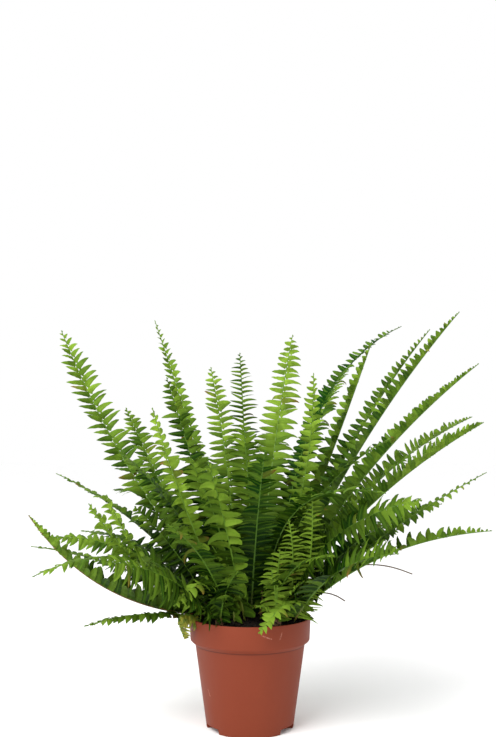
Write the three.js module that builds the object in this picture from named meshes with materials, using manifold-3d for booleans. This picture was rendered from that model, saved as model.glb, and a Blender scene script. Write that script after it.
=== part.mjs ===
// A young sword fern in a round plastic nursery pot, in millimetres, +Z up.
// The origin is the centre of the pot's foot, and the plant is looked at along +Y, so -Y is its front.
//
// The plant is a tuft of fronds. Each frond is one thin arched blade: a rib of rectangular section that
// stands in its own hole in the soil, with leaflets cut to the rib along both of its sides. The fronds of a
// clump grow together from one short crown.
import * as THREE from "three";
import { mergeVertices } from "three/addons/utils/BufferGeometryUtils.js";
import Module from "manifold-3d";

const wasm = await Module();
wasm.setup();

// ---------------------------------------------------------------- driving dimensions

const fitGap = 0.4; // between two pieces that touch

// The pot: a tapered cup with a deeper band round its mouth and drain pockets in its foot.
const potHeight = 105;
const potRimRadius = 60;
const potBaseRadius = 42.5;
const potWall = 1.5;
const bandHeight = 26; // from the rim down to where the band meets the cup
const bandChamfer = 4; // height of the slope under the band
const bandFootRadius = 58.8;
const shoulderRadius = 54; // the cup just under the band
const rimRound = 0.8;
const potSides = 48;

const pocketCount = 3;
const pocketFirstTurn = -31; // degrees, so that one pocket is at the back and two flank the front
const pocketSpan = 34; // degrees of the foot that each pocket takes
const pocketHeight = 5;
const pocketInnerRadius = 33;
const drainSlotLength = 9;
const drainSlotWidth = 3;

// The soil: fills the cup to just under the rim and rises towards the middle of the tuft.
const soilEdgeDrop = 0.8; // below the rim, at the wall
const soilRise = 7; // how much higher the middle is than the edge
const soilLump = 1.3; // height of its crumbs
const soilSides = 40;

// Fronds.
const stemSunk = 8; // how deep a stem stands in the soil
const holeAbove = 25; // how far its hole is cut above the soil, past the lumps
const stemWidth = 2.2;
const stemThickness = 2;
const ribTipWidth = 1.1;
const ribTipThickness = 0.9;
const leafletTipThickness = 0.7;
const leafletSpacing = 16.3;
const spacingTaper = 1.25; // above 1, leaflets stand closer towards the tip
const bareShare = 0.09; // of a frond's length that is bare stem
const crownRadius = 5;
const crownHeight = 5; // above the soil
const crownSides = 10;
const crownHoleSides = 24;
const crownRootSunk = 2; // how deep the stems of a clump reach into its crown, below the soil's surface
const leafletSweep = 8; // degrees that a leaflet leans forward at the foot of the blade
const tipSweep = 30; // degrees more that it leans forward at the tip
const sweepSpread = 8; // degrees between the leaflets that lean forward most and least, side by side
const foldSpread = 14; // degrees between those that are raised most and least
const lengthSpread = 0.1; // of a leaflet's length, between its longest and shortest neighbours
const footLeafShare = 0.45; // the lowest leaflets, against the longest
const footLeafGrowth = 1.6; // how fast they reach full length along the blade
const bladeGap = 2.2; // kept between the leaflets of neighbouring fronds
const ribSamples = 80; // points that stand for a rib where leaflets are kept clear of it
const shorterShares = [0.85, 0.7, 0.55, 0.4, 0.28, 0.18, 0.1]; // tried in turn where leaflets meet

// Each frond, by where its tip hangs: turn is the compass turn of the tip in degrees anticlockwise from
// +X seen from above, reach its distance from the pot's axis and rise its height above the table. bow is
// how far the rib arches above the straight line to the tip, leaf the length of its longest leaflets,
// fold how far they are raised like a trough, roll the turn of the blade about its rib, and foot and
// footTurn where the stem leaves the soil. lean, where there is one, is how far the rib bends sideways, to
// the left as seen from the pot.
const tallFronds = [
  { turn: 152, reach: 246, rise: 406, bow: -16, leaf: 21, fold: 36, roll: -38, foot: 22, footTurn: 165 },
  { turn: 128, reach: 183, rise: 422, bow: 7, leaf: 19, fold: 42, roll: -25, foot: 20, footTurn: 135 },
  { turn: 112, reach: 119, rise: 363, bow: 12, leaf: 19, fold: 15, roll: -10, foot: 12, footTurn: 140 },
  { turn: 98, reach: 80, rise: 376, bow: 8, leaf: 19, fold: 10, roll: 0, foot: 16, footTurn: 90 },
  { turn: 68, reach: 133, rise: 402, bow: 12, leaf: 22, fold: 12, roll: 12, foot: 10, footTurn: 40 },
  { turn: 30, reach: 78, rise: 350, bow: -20, leaf: 18, fold: 20, roll: 10, foot: 9, footTurn: 336 },
  { turn: 45, reach: 265, rise: 421, bow: 66, leaf: 20, fold: 38, roll: 0, foot: 40, footTurn: 40 },
  { turn: 18, reach: 137, rise: 384, bow: -3, leaf: 20, fold: 58, roll: 0, foot: 20, footTurn: 20 },
  { turn: 12, reach: 231, rise: 417, bow: 14, leaf: 21, fold: 58, roll: 0, foot: 26, footTurn: 0 },
  { turn: 30, reach: 241, rise: 408, bow: 15, leaf: 19, fold: 55, roll: 0, foot: 28, footTurn: 30 },
  { turn: 352, reach: 227, rise: 353, bow: 17, leaf: 21, fold: 60, roll: 0, foot: 28, footTurn: 340 },
];
const middleFronds = [
  { turn: 205, reach: 104, rise: 309, bow: -5, leaf: 17, fold: 10, roll: 20, foot: 22, footTurn: 215 },
  { turn: 165, reach: 90, rise: 344, bow: 2, leaf: 18, fold: 15, roll: -30, foot: 18, footTurn: 195 },
  { turn: 262, reach: 48, rise: 296, bow: 6, leaf: 23, fold: 18, roll: 0, foot: 16, footTurn: 285 },
  { turn: 250, reach: 110, rise: 259, bow: 4, leaf: 20, fold: 8, roll: 0, foot: 38, footTurn: 262 },
  { turn: 232, reach: 92, rise: 262, bow: 10, leaf: 21, fold: 12, roll: 0, foot: 26, footTurn: 240 },
  { turn: 22, reach: 270, rise: 306, bow: 26, leaf: 20, fold: 30, roll: 10, foot: 36, footTurn: 16 },
  { turn: 342, reach: 229, rise: 294, bow: 16, leaf: 22, fold: 30, roll: 15, foot: 34, footTurn: 325 },
  { turn: 325, reach: 156, rise: 279, bow: 26, leaf: 16, fold: 25, roll: 10, foot: 24, footTurn: 312 },
  { turn: 312, reach: 174, rise: 231, bow: 52, leaf: 18, fold: 15, roll: 0, foot: 30, footTurn: 300 },
  { turn: 55, reach: 207, rise: 369, bow: 25, leaf: 16, fold: 20, roll: 0, foot: 34, footTurn: 55 },
  { turn: 145, reach: 170, rise: 316, bow: -2, leaf: 17, fold: 20, roll: -20, foot: 32, footTurn: 150 },
  { turn: 168, reach: 209, rise: 244, bow: 15, leaf: 18, fold: 20, roll: 0, foot: 34, footTurn: 172 },
  { turn: 135, reach: 226, rise: 221, bow: 40, leaf: 19, fold: 25, roll: 0, foot: 36, footTurn: 130 },
  { turn: 188, reach: 132, rise: 268, bow: 14, leaf: 18, fold: 15, roll: -20, foot: 24, footTurn: 186 },
];
const lowFronds = [
  { turn: 350, reach: 231, rise: 247, bow: 8, leaf: 20, fold: 15, roll: 35, foot: 40, footTurn: 352 },
  { turn: 337, reach: 236, rise: 196, bow: 18, leaf: 20, fold: 60, roll: 15, foot: 46, footTurn: 348 },
  { turn: 190, reach: 216, rise: 206, bow: -24, leaf: 19, fold: 40, roll: 0, foot: 44, footTurn: 189 },
  { turn: 176, reach: 223, rise: 171, bow: 12, leaf: 17, fold: 15, roll: 0, foot: 46, footTurn: 173 },
  { turn: 201, reach: 213, rise: 153, bow: 36, leaf: 17, fold: 10, roll: 0, foot: 44, footTurn: 206 },
  { turn: 205, reach: 165, rise: 219, bow: -12, leaf: 15, fold: 20, roll: 10, foot: 34, footTurn: 213 },
  { turn: 157, reach: 199, rise: 181, bow: 20, leaf: 17, fold: 20, roll: 0, foot: 44, footTurn: 156 },
  { turn: 222, reach: 168, rise: 171, bow: 12, leaf: 24, fold: 5, roll: -48, foot: 45, footTurn: 224 },
  { turn: 196, reach: 163, rise: 103, bow: 7, leaf: 14, fold: -25, roll: 0, foot: 51, footTurn: 196 },
  { turn: 319, reach: 172, rise: 178, bow: 16, leaf: 20, fold: 48, roll: 35, foot: 52, footTurn: 324 },
  { turn: 4, reach: 196, rise: 214, bow: 20, leaf: 19, fold: 20, roll: 30, foot: 45, footTurn: 2 },
  { turn: 332, reach: 177, rise: 223, bow: 24, leaf: 20, fold: 10, roll: 40, foot: 37, footTurn: 320 },
  { turn: 193, reach: 193, rise: 186, bow: 20, leaf: 19, fold: 5, roll: -30, foot: 38, footTurn: 200 },
  { turn: 214, reach: 157, rise: 228, bow: -16, leaf: 13, fold: 10, roll: 0, foot: 38, footTurn: 219 },
  { turn: 180, reach: 116, rise: 212, bow: 6, leaf: 20, fold: 15, roll: -30, foot: 38, footTurn: 180 },
];
const frontFronds = [
  { turn: 313, reach: 84, rise: 234, bow: -10, leaf: 14, fold: 10, roll: 0, foot: 49, footTurn: 340,
    lean: 3 },
  { turn: 299, reach: 74, rise: 204, bow: 4, leaf: 15, fold: 10, roll: 0, foot: 48, footTurn: 318,
    lean: 5 },
  { turn: 276, reach: 74, rise: 102, bow: 24, leaf: 11, fold: 10, roll: 0, foot: 54, footTurn: 342,
    lean: 12 },
  { turn: 278, reach: 96, rise: 268, bow: 8, leaf: 20, fold: 12, roll: 0, foot: 28, footTurn: 272 },
  { turn: 240, reach: 142, rise: 204, bow: 12, leaf: 18, fold: 12, roll: 0, foot: 40, footTurn: 240 },
  { turn: 305, reach: 125, rise: 175, bow: 18, leaf: 17, fold: 12, roll: 10, foot: 38, footTurn: 300 },
  { turn: 235, reach: 62, rise: 178, bow: 6, leaf: 15, fold: 12, roll: 0, foot: 44, footTurn: 250 },
  { turn: 226, reach: 100, rise: 126, bow: 26, leaf: 12, fold: 5, roll: -15, foot: 40, footTurn: 232 },
];
const backFronds = [
  { turn: 80, reach: 205, rise: 300, bow: 34, leaf: 20, fold: 20, roll: 0, foot: 26, footTurn: 82 },
  { turn: 108, reach: 215, rise: 262, bow: 34, leaf: 20, fold: 20, roll: 0, foot: 30, footTurn: 106 },
  { turn: 20, reach: 167, rise: 184, bow: 16, leaf: 18, fold: 15, roll: 0, foot: 46, footTurn: 20 },
];

// Clumps of fronds that grow from one crown, which stands in the soil at a distance and a turn.
const clumps = [
  {
    name: "back_clump",
    crown: { foot: 42, footTurn: 92 },
    fronds: [
      { turn: 92, reach: 205, rise: 172, bow: 26, leaf: 18, fold: 15, roll: 0 },
      { turn: 38, reach: 222, rise: 186, bow: 28, leaf: 19, fold: 15, roll: 0 },
      { turn: 120, reach: 205, rise: 160, bow: 28, leaf: 19, fold: 15, roll: 0 },
      { turn: 64, reach: 225, rise: 205, bow: 34, leaf: 20, fold: 20, roll: 0 },
      { turn: 74, reach: 172, rise: 132, bow: 24, leaf: 17, fold: 15, roll: 0 },
    ],
  },
  {
    name: "right_clump",
    crown: { foot: 50, footTurn: 300 },
    fronds: [
      { turn: 288, reach: 63, rise: 158, bow: 5, leaf: 10, fold: 10, roll: 0 },
      { turn: 294, reach: 68, rise: 176, bow: 4, leaf: 12, fold: 10, roll: 0 },
      { turn: 312, reach: 76, rise: 147, bow: 5, leaf: 12, fold: 10, roll: 0 },
      { turn: 276, reach: 58, rise: 124, bow: 5, leaf: 9, fold: 5, roll: 0 },
    ],
  },
  {
    name: "left_clump",
    crown: { foot: 51, footTurn: 236 },
    fronds: [
      { turn: 232, reach: 71, rise: 151, bow: 8, leaf: 12, fold: 10, roll: 0 },
      { turn: 262, reach: 78, rise: 158, bow: 8, leaf: 13, fold: 10, roll: 0 },
      { turn: 214, reach: 66, rise: 127, bow: 12, leaf: 11, fold: 5, roll: 0 },
      { turn: 250, reach: 64, rise: 134, bow: 6, leaf: 11, fold: 10, roll: 0 },
    ],
  },
];

// Small pieces between the fronds. girth is their thickness against a stem's; no leaf means a bare strand.
const witheredFronds = [
  { turn: 204, reach: 68, rise: 88, bow: 18, leaf: 11, fold: -20, roll: 0, foot: 52, footTurn: 202,
    girth: 0.8 },
];
const runners = [
  { turn: 356, reach: 160, rise: 147, bow: 27, leaf: 0, fold: 0, roll: 0, foot: 53, footTurn: 1,
    girth: 0.7 },
  { turn: 342, reach: 96, rise: 124, bow: 15, leaf: 0, fold: 0, roll: 0, foot: 53, footTurn: 352,
    girth: 0.7 },
];
const oldStalks = [
  { turn: 290, reach: 33, rise: 134, bow: 1, leaf: 0, fold: 0, roll: 0, foot: 29, footTurn: 292,
    girth: 1.6 },
];

// ---------------------------------------------------------------- finishes

const plastic = { color: 0x9c4a36, roughness: 0.5, metalness: 0 };
const peat = { color: 0x1d120c, roughness: 1, metalness: 0 };
const greenLeaf = { color: 0x3f7a1e, roughness: 0.55, metalness: 0 };
const witheredLeaf = { color: 0xa39a2e, roughness: 0.7, metalness: 0 };
const brownStem = { color: 0x6b4a32, roughness: 0.7, metalness: 0 };

// ---------------------------------------------------------------- helpers

const radians = THREE.MathUtils.degToRad;

// Repeatable random numbers, so that every build gives the same plant.
function randomFrom(seed) {
  let state = seed;
  return () => {
    state = (state * 1664525 + 1013904223) % 4294967296;
    return state / 4294967296;
  };
}

// The point at a distance and a compass turn from the pot's axis.
function polar(distance, turn, z) {
  return new THREE.Vector3(distance * Math.cos(radians(turn)), distance * Math.sin(radians(turn)), z);
}

function solidOf(geometry) {
  const bare = geometry.clone();
  bare.deleteAttribute("normal");
  bare.deleteAttribute("uv");
  const merged = mergeVertices(bare, 1e-4);
  return new wasm.Manifold(
    new wasm.Mesh({
      numProp: 3,
      vertProperties: merged.attributes.position.array,
      triVerts: new Uint32Array(merged.index.array),
    }),
  );
}

function geometryOf(solid) {
  const { vertProperties, triVerts, numProp } = solid.getMesh();
  const count = vertProperties.length / numProp;
  const points = new Float32Array(count * 3);
  for (let i = 0; i < count; i++) points.set(vertProperties.subarray(i * numProp, i * numProp + 3), i * 3);
  return new THREE.BufferGeometry()
    .setAttribute("position", new THREE.BufferAttribute(points, 3))
    .setIndex(new THREE.BufferAttribute(triVerts, 1));
}

function lathe(profile, sides) {
  const points = profile.map(([radius, height]) => new THREE.Vector2(radius, height));
  return new THREE.LatheGeometry(points, sides).rotateX(Math.PI / 2);
}

// A block in the shape of part of a ring, centred on a turn.
function ringBlock(innerRadius, outerRadius, turn, span, bottom, top) {
  const from = radians(turn - span / 2);
  const to = radians(turn + span / 2);
  const outline = new THREE.Shape();
  outline.absarc(0, 0, outerRadius, from, to, false);
  outline.absarc(0, 0, innerRadius, to, from, true);
  const depth = top - bottom;
  const block = new THREE.ExtrudeGeometry(outline, { depth, bevelEnabled: false, curveSegments: 5 });
  return block.translate(0, 0, bottom);
}

// ---------------------------------------------------------------- pot

const pocketTurns = Array.from({ length: pocketCount }, (_, i) => pocketFirstTurn + (i * 360) / pocketCount);
const pocketWallSpan = THREE.MathUtils.radToDeg(potWall / pocketInnerRadius);
const bandFootHeight = potHeight - bandHeight + bandChamfer;
const shoulderHeight = potHeight - bandHeight;

function potSolid() {
  const profile = [
    [0, 0],
    [potBaseRadius - rimRound, 0],
    [potBaseRadius, rimRound],
    [shoulderRadius, shoulderHeight],
    [bandFootRadius, bandFootHeight],
    [potRimRadius, potHeight - rimRound],
    [potRimRadius - rimRound / 2, potHeight],
    [potRimRadius - potWall, potHeight],
    [bandFootRadius - potWall, bandFootHeight + potWall],
    [shoulderRadius - potWall, shoulderHeight + potWall],
    [potBaseRadius - potWall, potWall],
    [0, potWall],
  ];
  let pot = solidOf(lathe(profile, potSides));
  const beyond = potBaseRadius + 10;
  for (const turn of pocketTurns) {
    const lining = ringBlock(
      pocketInnerRadius - potWall,
      potBaseRadius - potWall / 2,
      turn,
      pocketSpan + 2 * pocketWallSpan,
      potWall / 2,
      pocketHeight + potWall,
    );
    const room = ringBlock(pocketInnerRadius, beyond, turn, pocketSpan, -1, pocketHeight);
    const slotRadius = (pocketInnerRadius + potBaseRadius) / 2;
    const slot = new THREE.BoxGeometry(drainSlotWidth, drainSlotLength, 3 * potWall)
      .translate(slotRadius, 0, pocketHeight + potWall / 2)
      .rotateZ(radians(turn));
    pot = pot.add(solidOf(lining)).subtract(solidOf(room)).subtract(solidOf(slot));
  }
  return pot;
}

// ---------------------------------------------------------------- soil

const soilEdgeRadius = potRimRadius - potWall - fitGap - 0.5;

// The height of the soil's smooth surface at a distance from the axis.
function soilHeight(distance) {
  const share = Math.min(1, distance / soilEdgeRadius);
  return potHeight - soilEdgeDrop + soilRise * (1 - share * share);
}

function soilSolid() {
  const rings = [0.12, 0.27, 0.42, 0.57, 0.72, 0.87].map((share) => share * soilEdgeRadius).reverse();
  const inside = potWall + fitGap;
  const profile = [
    [0, inside],
    [potBaseRadius - inside, inside],
    [shoulderRadius - inside, shoulderHeight + potWall],
    [bandFootRadius - inside, bandFootHeight + potWall],
    [soilEdgeRadius, soilHeight(soilEdgeRadius)],
    ...rings.map((radius) => [radius, soilHeight(radius)]),
    [0, soilHeight(0)],
  ];
  const ground = lathe(profile, soilSides);
  const place = ground.getAttribute("position");
  for (let i = 0; i < place.count; i++) {
    const [x, y, z] = [place.getX(i), place.getY(i), place.getZ(i)];
    const inner = Math.hypot(x, y) < soilEdgeRadius - 1;
    if (z < bandFootHeight + potWall + 1 || !inner) continue;
    const lumps = Math.sin(x * 0.61 + 1) * Math.cos(y * 0.53) + 0.5 * Math.sin(x * y);
    place.setZ(i, z + soilLump * lumps);
  }
  let soil = solidOf(ground);
  for (const turn of pocketTurns) {
    const over = potWall + fitGap;
    const overSpan = THREE.MathUtils.radToDeg(over / (pocketInnerRadius - over));
    const lining = ringBlock(
      pocketInnerRadius - over,
      potBaseRadius + 5,
      turn,
      pocketSpan + 2 * overSpan,
      -1,
      pocketHeight + over,
    );
    soil = soil.subtract(solidOf(lining));
  }
  for (const { rib } of strands) soil = soil.subtract(solidOf(stemHole(rib)));
  for (const { crown } of clumps) soil = soil.subtract(solidOf(crownHole(crown)));
  return soil;
}

// The plain square hole that a stem stands in.
function stemHole(rib) {
  const { point, along, side, up, width, thickness } = rib.stationAt(0);
  const depth = stemSunk + fitGap;
  const hole = new THREE.BoxGeometry(width + 2 * fitGap, thickness + 2 * fitGap, depth + holeAbove);
  hole.translate(0, 0, (holeAbove - depth) / 2);
  return hole.applyMatrix4(new THREE.Matrix4().makeBasis(side, up, along)).translate(...point.toArray());
}

// The plain round hole that a clump's crown stands in.
function crownHole({ foot, footTurn }) {
  const depth = stemSunk + fitGap;
  const radius = crownRadius + fitGap;
  const hole = new THREE.CylinderGeometry(radius, radius, depth + holeAbove, crownHoleSides);
  hole.rotateX(Math.PI / 2).translate(0, 0, (holeAbove - depth) / 2);
  return hole.translate(...polar(foot, footTurn, soilHeight(foot)).toArray());
}

// ---------------------------------------------------------------- fronds

// A frond's rib: its curve from the soil to the tip, and the blade's directions along it.
class Rib {
  constructor(name, frond, seed, sunk = stemSunk) {
    this.name = name;
    this.frond = frond;
    this.seed = seed;
    this.sunk = sunk;
    const foot = polar(frond.foot, frond.footTurn, soilHeight(frond.foot));
    const tip = polar(frond.reach, frond.turn, frond.rise);
    const chord = tip.clone().sub(foot);
    this.across = new THREE.Vector3(-chord.y, chord.x, 0).normalize();
    const above = chord.clone().cross(this.across).normalize();
    const handle = foot.clone().lerp(tip, 0.5).addScaledVector(above, 2 * frond.bow);
    handle.addScaledVector(this.across, 2 * (frond.lean ?? 0));
    this.curve = new THREE.QuadraticBezierCurve3(foot, handle, tip);
    this.length = this.curve.getLength();
  }

  frameAt(share) {
    const point = this.curve.getPointAt(share);
    const along = this.curve.getTangentAt(share);
    const flatSide = this.across.clone().addScaledVector(along, -this.across.dot(along)).normalize();
    const side = flatSide.applyAxisAngle(along, radians(this.frond.roll) * Math.min(1, 2 * share));
    const up = along.clone().cross(side);
    return { point, along, side, up };
  }

  // The same, with the size of the rib's section.
  stationAt(share) {
    const girth = this.frond.girth ?? 1;
    const width = girth * THREE.MathUtils.lerp(stemWidth, ribTipWidth, share);
    const thickness = girth * THREE.MathUtils.lerp(stemThickness, ribTipThickness, share);
    return { ...this.frameAt(share), width, thickness };
  }
}

// How long the leaflets are, as a share of the longest, from the foot (0) to the tip (1) of the blade.
function leafletShare(place) {
  const foot = Math.min(1, footLeafShare + footLeafGrowth * place);
  return foot * Math.pow(1 - Math.pow(place, 3.5), 0.8);
}

// The stations along a rib between which its leaflets grow.
function stationsOf(rib) {
  const pairs = Math.round((rib.length * (1 - bareShare)) / leafletSpacing);
  return Array.from({ length: pairs + 1 }, (_, i) => {
    const place = 1 - Math.pow(1 - i / pairs, spacingTaper);
    return { ...rib.stationAt(bareShare + (1 - bareShare) * place), place };
  });
}

// One leaflet between two stations, on the left (1) or the right (-1) of the rib.
function leafletBetween(rib, from, to, hand, random) {
  const middle = (from.place + to.place) / 2;
  const sweep = radians(leafletSweep + tipSweep * middle * middle + sweepSpread * (random() - 0.5));
  const fold = radians(rib.frond.fold + foldSpread * (random() - 0.5));
  const length = rib.frond.leaf * leafletShare(middle) * (1 + lengthSpread * (random() - 0.5));
  const level = from.side.clone().multiplyScalar(hand * Math.cos(fold));
  const outward = level.addScaledVector(from.up, Math.sin(fold));
  const direction = outward.multiplyScalar(Math.cos(sweep)).addScaledVector(from.along, Math.sin(sweep));
  const face = from.along.clone().cross(direction).multiplyScalar(hand).normalize();
  const rootFrom = from.point.clone().addScaledVector(from.side, (hand * from.width) / 2);
  const rootTo = to.point.clone().addScaledVector(to.side, (hand * to.width) / 2);
  const root = rootFrom.clone().lerp(rootTo, 0.5);
  return { root, rootFrom, rootTo, direction, face, length };
}

function leafletTip(leaflet) {
  return leaflet.root.clone().addScaledVector(leaflet.direction, leaflet.length);
}

// Points spread over a leaflet, to measure how near it comes to its neighbours.
function leafletPoints(leaflet) {
  const tip = leafletTip(leaflet);
  const points = [tip];
  for (let out = 0.15; out < 1; out += 0.17)
    for (const along of [0, 0.33, 0.67, 1])
      points.push(leaflet.rootFrom.clone().lerp(leaflet.rootTo, along).lerp(tip, out));
  return points;
}

// Keeps what is already placed, and tells whether a leaflet stays clear of it.
class Thicket {
  constructor(ribs) {
    this.blades = [];
    this.stems = ribs.map((rib) => ({ rib, points: rib.curve.getSpacedPoints(ribSamples) }));
  }

  shapeOf(rib, leaflet) {
    const corners = [leaflet.rootFrom, leaflet.rootTo, leafletTip(leaflet)];
    const reach = leaflet.length + leafletSpacing;
    return { rib, triangle: new THREE.Triangle(...corners), points: leafletPoints(leaflet), reach };
  }

  isClear(shape) {
    const near = new THREE.Vector3();
    const meets = (triangle, point) => triangle.closestPointToPoint(point, near).distanceTo(point) < bladeGap;
    const root = shape.triangle.a;
    for (const stem of this.stems) {
      if (stem.rib === shape.rib) continue;
      const nearby = stem.points.filter((point) => point.distanceTo(root) < shape.reach + bladeGap);
      if (nearby.some((point) => meets(shape.triangle, point))) return false;
    }
    for (const blade of this.blades) {
      if (blade.rib === shape.rib) continue;
      if (blade.triangle.a.distanceTo(root) > blade.reach + shape.reach) continue;
      if (blade.points.some((point) => meets(shape.triangle, point))) return false;
      if (shape.points.some((point) => meets(blade.triangle, point))) return false;
    }
    return true;
  }
}

// Every leaflet of a frond, each shortened until it is clear of what already grows there.
function leafletsOf(rib, stations, thicket) {
  if (rib.frond.leaf === 0) return [];
  const random = randomFrom(rib.seed);
  const rows = [];
  const own = [];
  for (let i = 0; i + 1 < stations.length; i++) {
    rows.push(
      [1, -1].map((hand) => {
        const leaflet = leafletBetween(rib, stations[i], stations[i + 1], hand, random);
        const full = leaflet.length;
        let shape = thicket.shapeOf(rib, leaflet);
        for (const share of shorterShares) {
          if (thicket.isClear(shape)) break;
          leaflet.length = share * full;
          shape = thicket.shapeOf(rib, leaflet);
        }
        own.push(shape);
        return leaflet;
      }),
    );
  }
  thicket.blades.push(...own);
  return rows;
}

// The four corners of the rib's section at a station, anticlockwise from the upper left.
function sectionCorners({ point, side, up, width, thickness }) {
  return [
    [1, 1],
    [-1, 1],
    [-1, -1],
    [1, -1],
  ].map(([toSide, toUp]) =>
    point
      .clone()
      .addScaledVector(side, (toSide * width) / 2)
      .addScaledVector(up, (toUp * thickness) / 2),
  );
}

function frondGeometry(rib, thicket) {
  const stations = stationsOf(rib);
  const rows = leafletsOf(rib, stations, thicket);
  const start = rib.stationAt(0);
  const sunk = { ...start, point: start.point.clone().addScaledVector(start.along, -rib.sunk) };
  const stem = [sunk, start, rib.stationAt(bareShare / 2)];
  const rings = [...stem, ...stations].map(sectionCorners);

  const corners = [];
  const face = (...points) => {
    for (let i = 1; i + 1 < points.length; i++) corners.push(points[0], points[i], points[i + 1]);
  };
  const [first, last] = [rings[0], rings[rings.length - 1]];
  face(first[0], first[3], first[2], first[1]);
  face(last[0], last[1], last[2], last[3]);
  for (let i = 0; i + 1 < rings.length; i++) {
    const [topLeft, topRight, bottomRight, bottomLeft] = rings[i];
    const [nextTopLeft, nextTopRight, nextBottomRight, nextBottomLeft] = rings[i + 1];
    face(topRight, nextTopRight, nextTopLeft, topLeft);
    face(bottomRight, bottomLeft, nextBottomLeft, nextBottomRight);
    const row = rows[i - stem.length];
    if (!row) {
      face(topLeft, nextTopLeft, nextBottomLeft, bottomLeft);
      face(topRight, bottomRight, nextBottomRight, nextTopRight);
      continue;
    }
    const [left, right] = row.map((leaflet) =>
      [1, -1].map((way) =>
        leafletTip(leaflet).addScaledVector(leaflet.face, (way * leafletTipThickness) / 2),
      ),
    );
    face(topLeft, nextTopLeft, left[0]);
    face(bottomLeft, left[1], nextBottomLeft);
    face(nextTopLeft, nextBottomLeft, left[1], left[0]);
    face(topLeft, left[0], left[1], bottomLeft);
    face(topRight, right[0], nextTopRight);
    face(bottomRight, nextBottomRight, right[1]);
    face(nextTopRight, right[0], right[1], nextBottomRight);
    face(topRight, bottomRight, right[1], right[0]);
  }
  return new THREE.BufferGeometry().setFromPoints(corners);
}

// A clump: its fronds joined to the crown that they grow from.
function clumpGeometry({ crown, ribs }, thicket) {
  const profile = [
    [0, -stemSunk],
    [crownRadius, -stemSunk],
    [crownRadius, 0],
    [crownRadius / 2, crownHeight],
    [0, crownHeight],
  ];
  const place = polar(crown.foot, crown.footTurn, soilHeight(crown.foot));
  let clump = solidOf(lathe(profile, crownSides).translate(...place.toArray()));
  for (const rib of ribs) clump = clump.add(solidOf(frondGeometry(rib, thicket)));
  return geometryOf(clump);
}

// ---------------------------------------------------------------- assembly

const growth = [
  ["tall_frond", tallFronds, greenLeaf],
  ["middle_frond", middleFronds, greenLeaf],
  ["low_frond", lowFronds, greenLeaf],
  ["front_frond", frontFronds, greenLeaf],
  ["back_frond", backFronds, greenLeaf],
  ["withered_frond", witheredFronds, witheredLeaf],
  ["runner", runners, brownStem],
  ["old_stalk", oldStalks, brownStem],
];
const strands = growth.flatMap(([name, rows, finish], group) =>
  rows.map((row, i) => ({ rib: new Rib(`${name}_${i + 1}`, row, 7 + 1000 * group + 31 * i), finish })),
);
const grownClumps = clumps.map(({ name, crown, fronds }, clump) => {
  const seed = (i) => 7 + 1000 * (growth.length + clump) + 31 * i;
  const ribs = fronds.map((row, i) => new Rib(name, { ...row, ...crown }, seed(i), crownRootSunk));
  return { name, crown, ribs };
});

function piece(name, geometry, finish) {
  const mesh = new THREE.Mesh(geometry, new THREE.MeshStandardMaterial(finish));
  mesh.name = name;
  return mesh;
}

const pottedFern = new THREE.Group();
pottedFern.add(piece("pot", geometryOf(potSolid()), plastic));
pottedFern.add(piece("soil", geometryOf(soilSolid()), peat));
const thicket = new Thicket([...strands.map(({ rib }) => rib), ...grownClumps.flatMap(({ ribs }) => ribs)]);
for (const { rib, finish } of strands) pottedFern.add(piece(rib.name, frondGeometry(rib, thicket), finish));
for (const clump of grownClumps) pottedFern.add(piece(clump.name, clumpGeometry(clump, thicket), greenLeaf));

export default pottedFern;
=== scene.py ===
"""The looks of a young sword fern in its nursery pot, modelled round the fixed frame.

Metres, +Z up. The pot stands on the table at the origin and -Y is the front. Every frond follows the same
curve as its node in the frame, with leaflets at their real number and size.
"""

import math
import random
from collections import namedtuple
from contextlib import contextmanager

import bmesh
import bpy
import numpy as np
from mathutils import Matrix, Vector


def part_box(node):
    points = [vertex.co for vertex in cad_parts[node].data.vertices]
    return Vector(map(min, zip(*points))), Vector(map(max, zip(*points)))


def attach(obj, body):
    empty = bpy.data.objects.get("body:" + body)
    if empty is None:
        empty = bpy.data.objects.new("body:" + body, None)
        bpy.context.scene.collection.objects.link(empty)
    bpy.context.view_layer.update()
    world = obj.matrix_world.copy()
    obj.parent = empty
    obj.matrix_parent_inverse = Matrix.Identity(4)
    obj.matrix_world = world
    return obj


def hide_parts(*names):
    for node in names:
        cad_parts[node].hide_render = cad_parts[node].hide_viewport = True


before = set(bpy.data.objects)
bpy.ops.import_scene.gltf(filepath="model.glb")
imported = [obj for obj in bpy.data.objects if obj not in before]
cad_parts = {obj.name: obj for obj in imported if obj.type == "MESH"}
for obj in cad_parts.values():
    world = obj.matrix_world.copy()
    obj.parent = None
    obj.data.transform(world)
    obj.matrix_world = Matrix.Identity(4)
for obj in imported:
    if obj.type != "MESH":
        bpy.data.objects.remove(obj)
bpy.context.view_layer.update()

bl_info = {
    "name": "Potted Fern",
    "version": (1, 0, 0),
    "blender": (4, 5, 0),
    "location": "3D View > Sidebar > Potted Fern",
    "description": "Models a young sword fern in a nursery pot",
    "category": "Add Mesh",
}

MM = 0.001
BODY = "root"

# ------------------------------------------------------------------------------------------- driving values

# The pot, as in the frame.
RIM_RADIUS = 60 * MM
POT_HEIGHT = 105 * MM
POT_WALL = 1.5 * MM
FOOT_RADIUS = 42.5 * MM
SHOULDER_HEIGHT = 79 * MM
BAND_FOOT_HEIGHT = 83 * MM
BAND_FOOT_RADIUS = 58.8 * MM
SHOULDER_RADIUS = 54 * MM
POCKET_TURNS = (-31, 89, 209)
POCKET_SPAN = 34
POCKET_HEIGHT = 5 * MM
POCKET_INNER_RADIUS = 33 * MM
SLOT_LENGTH = 9 * MM
SLOT_WIDTH = 3 * MM

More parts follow.
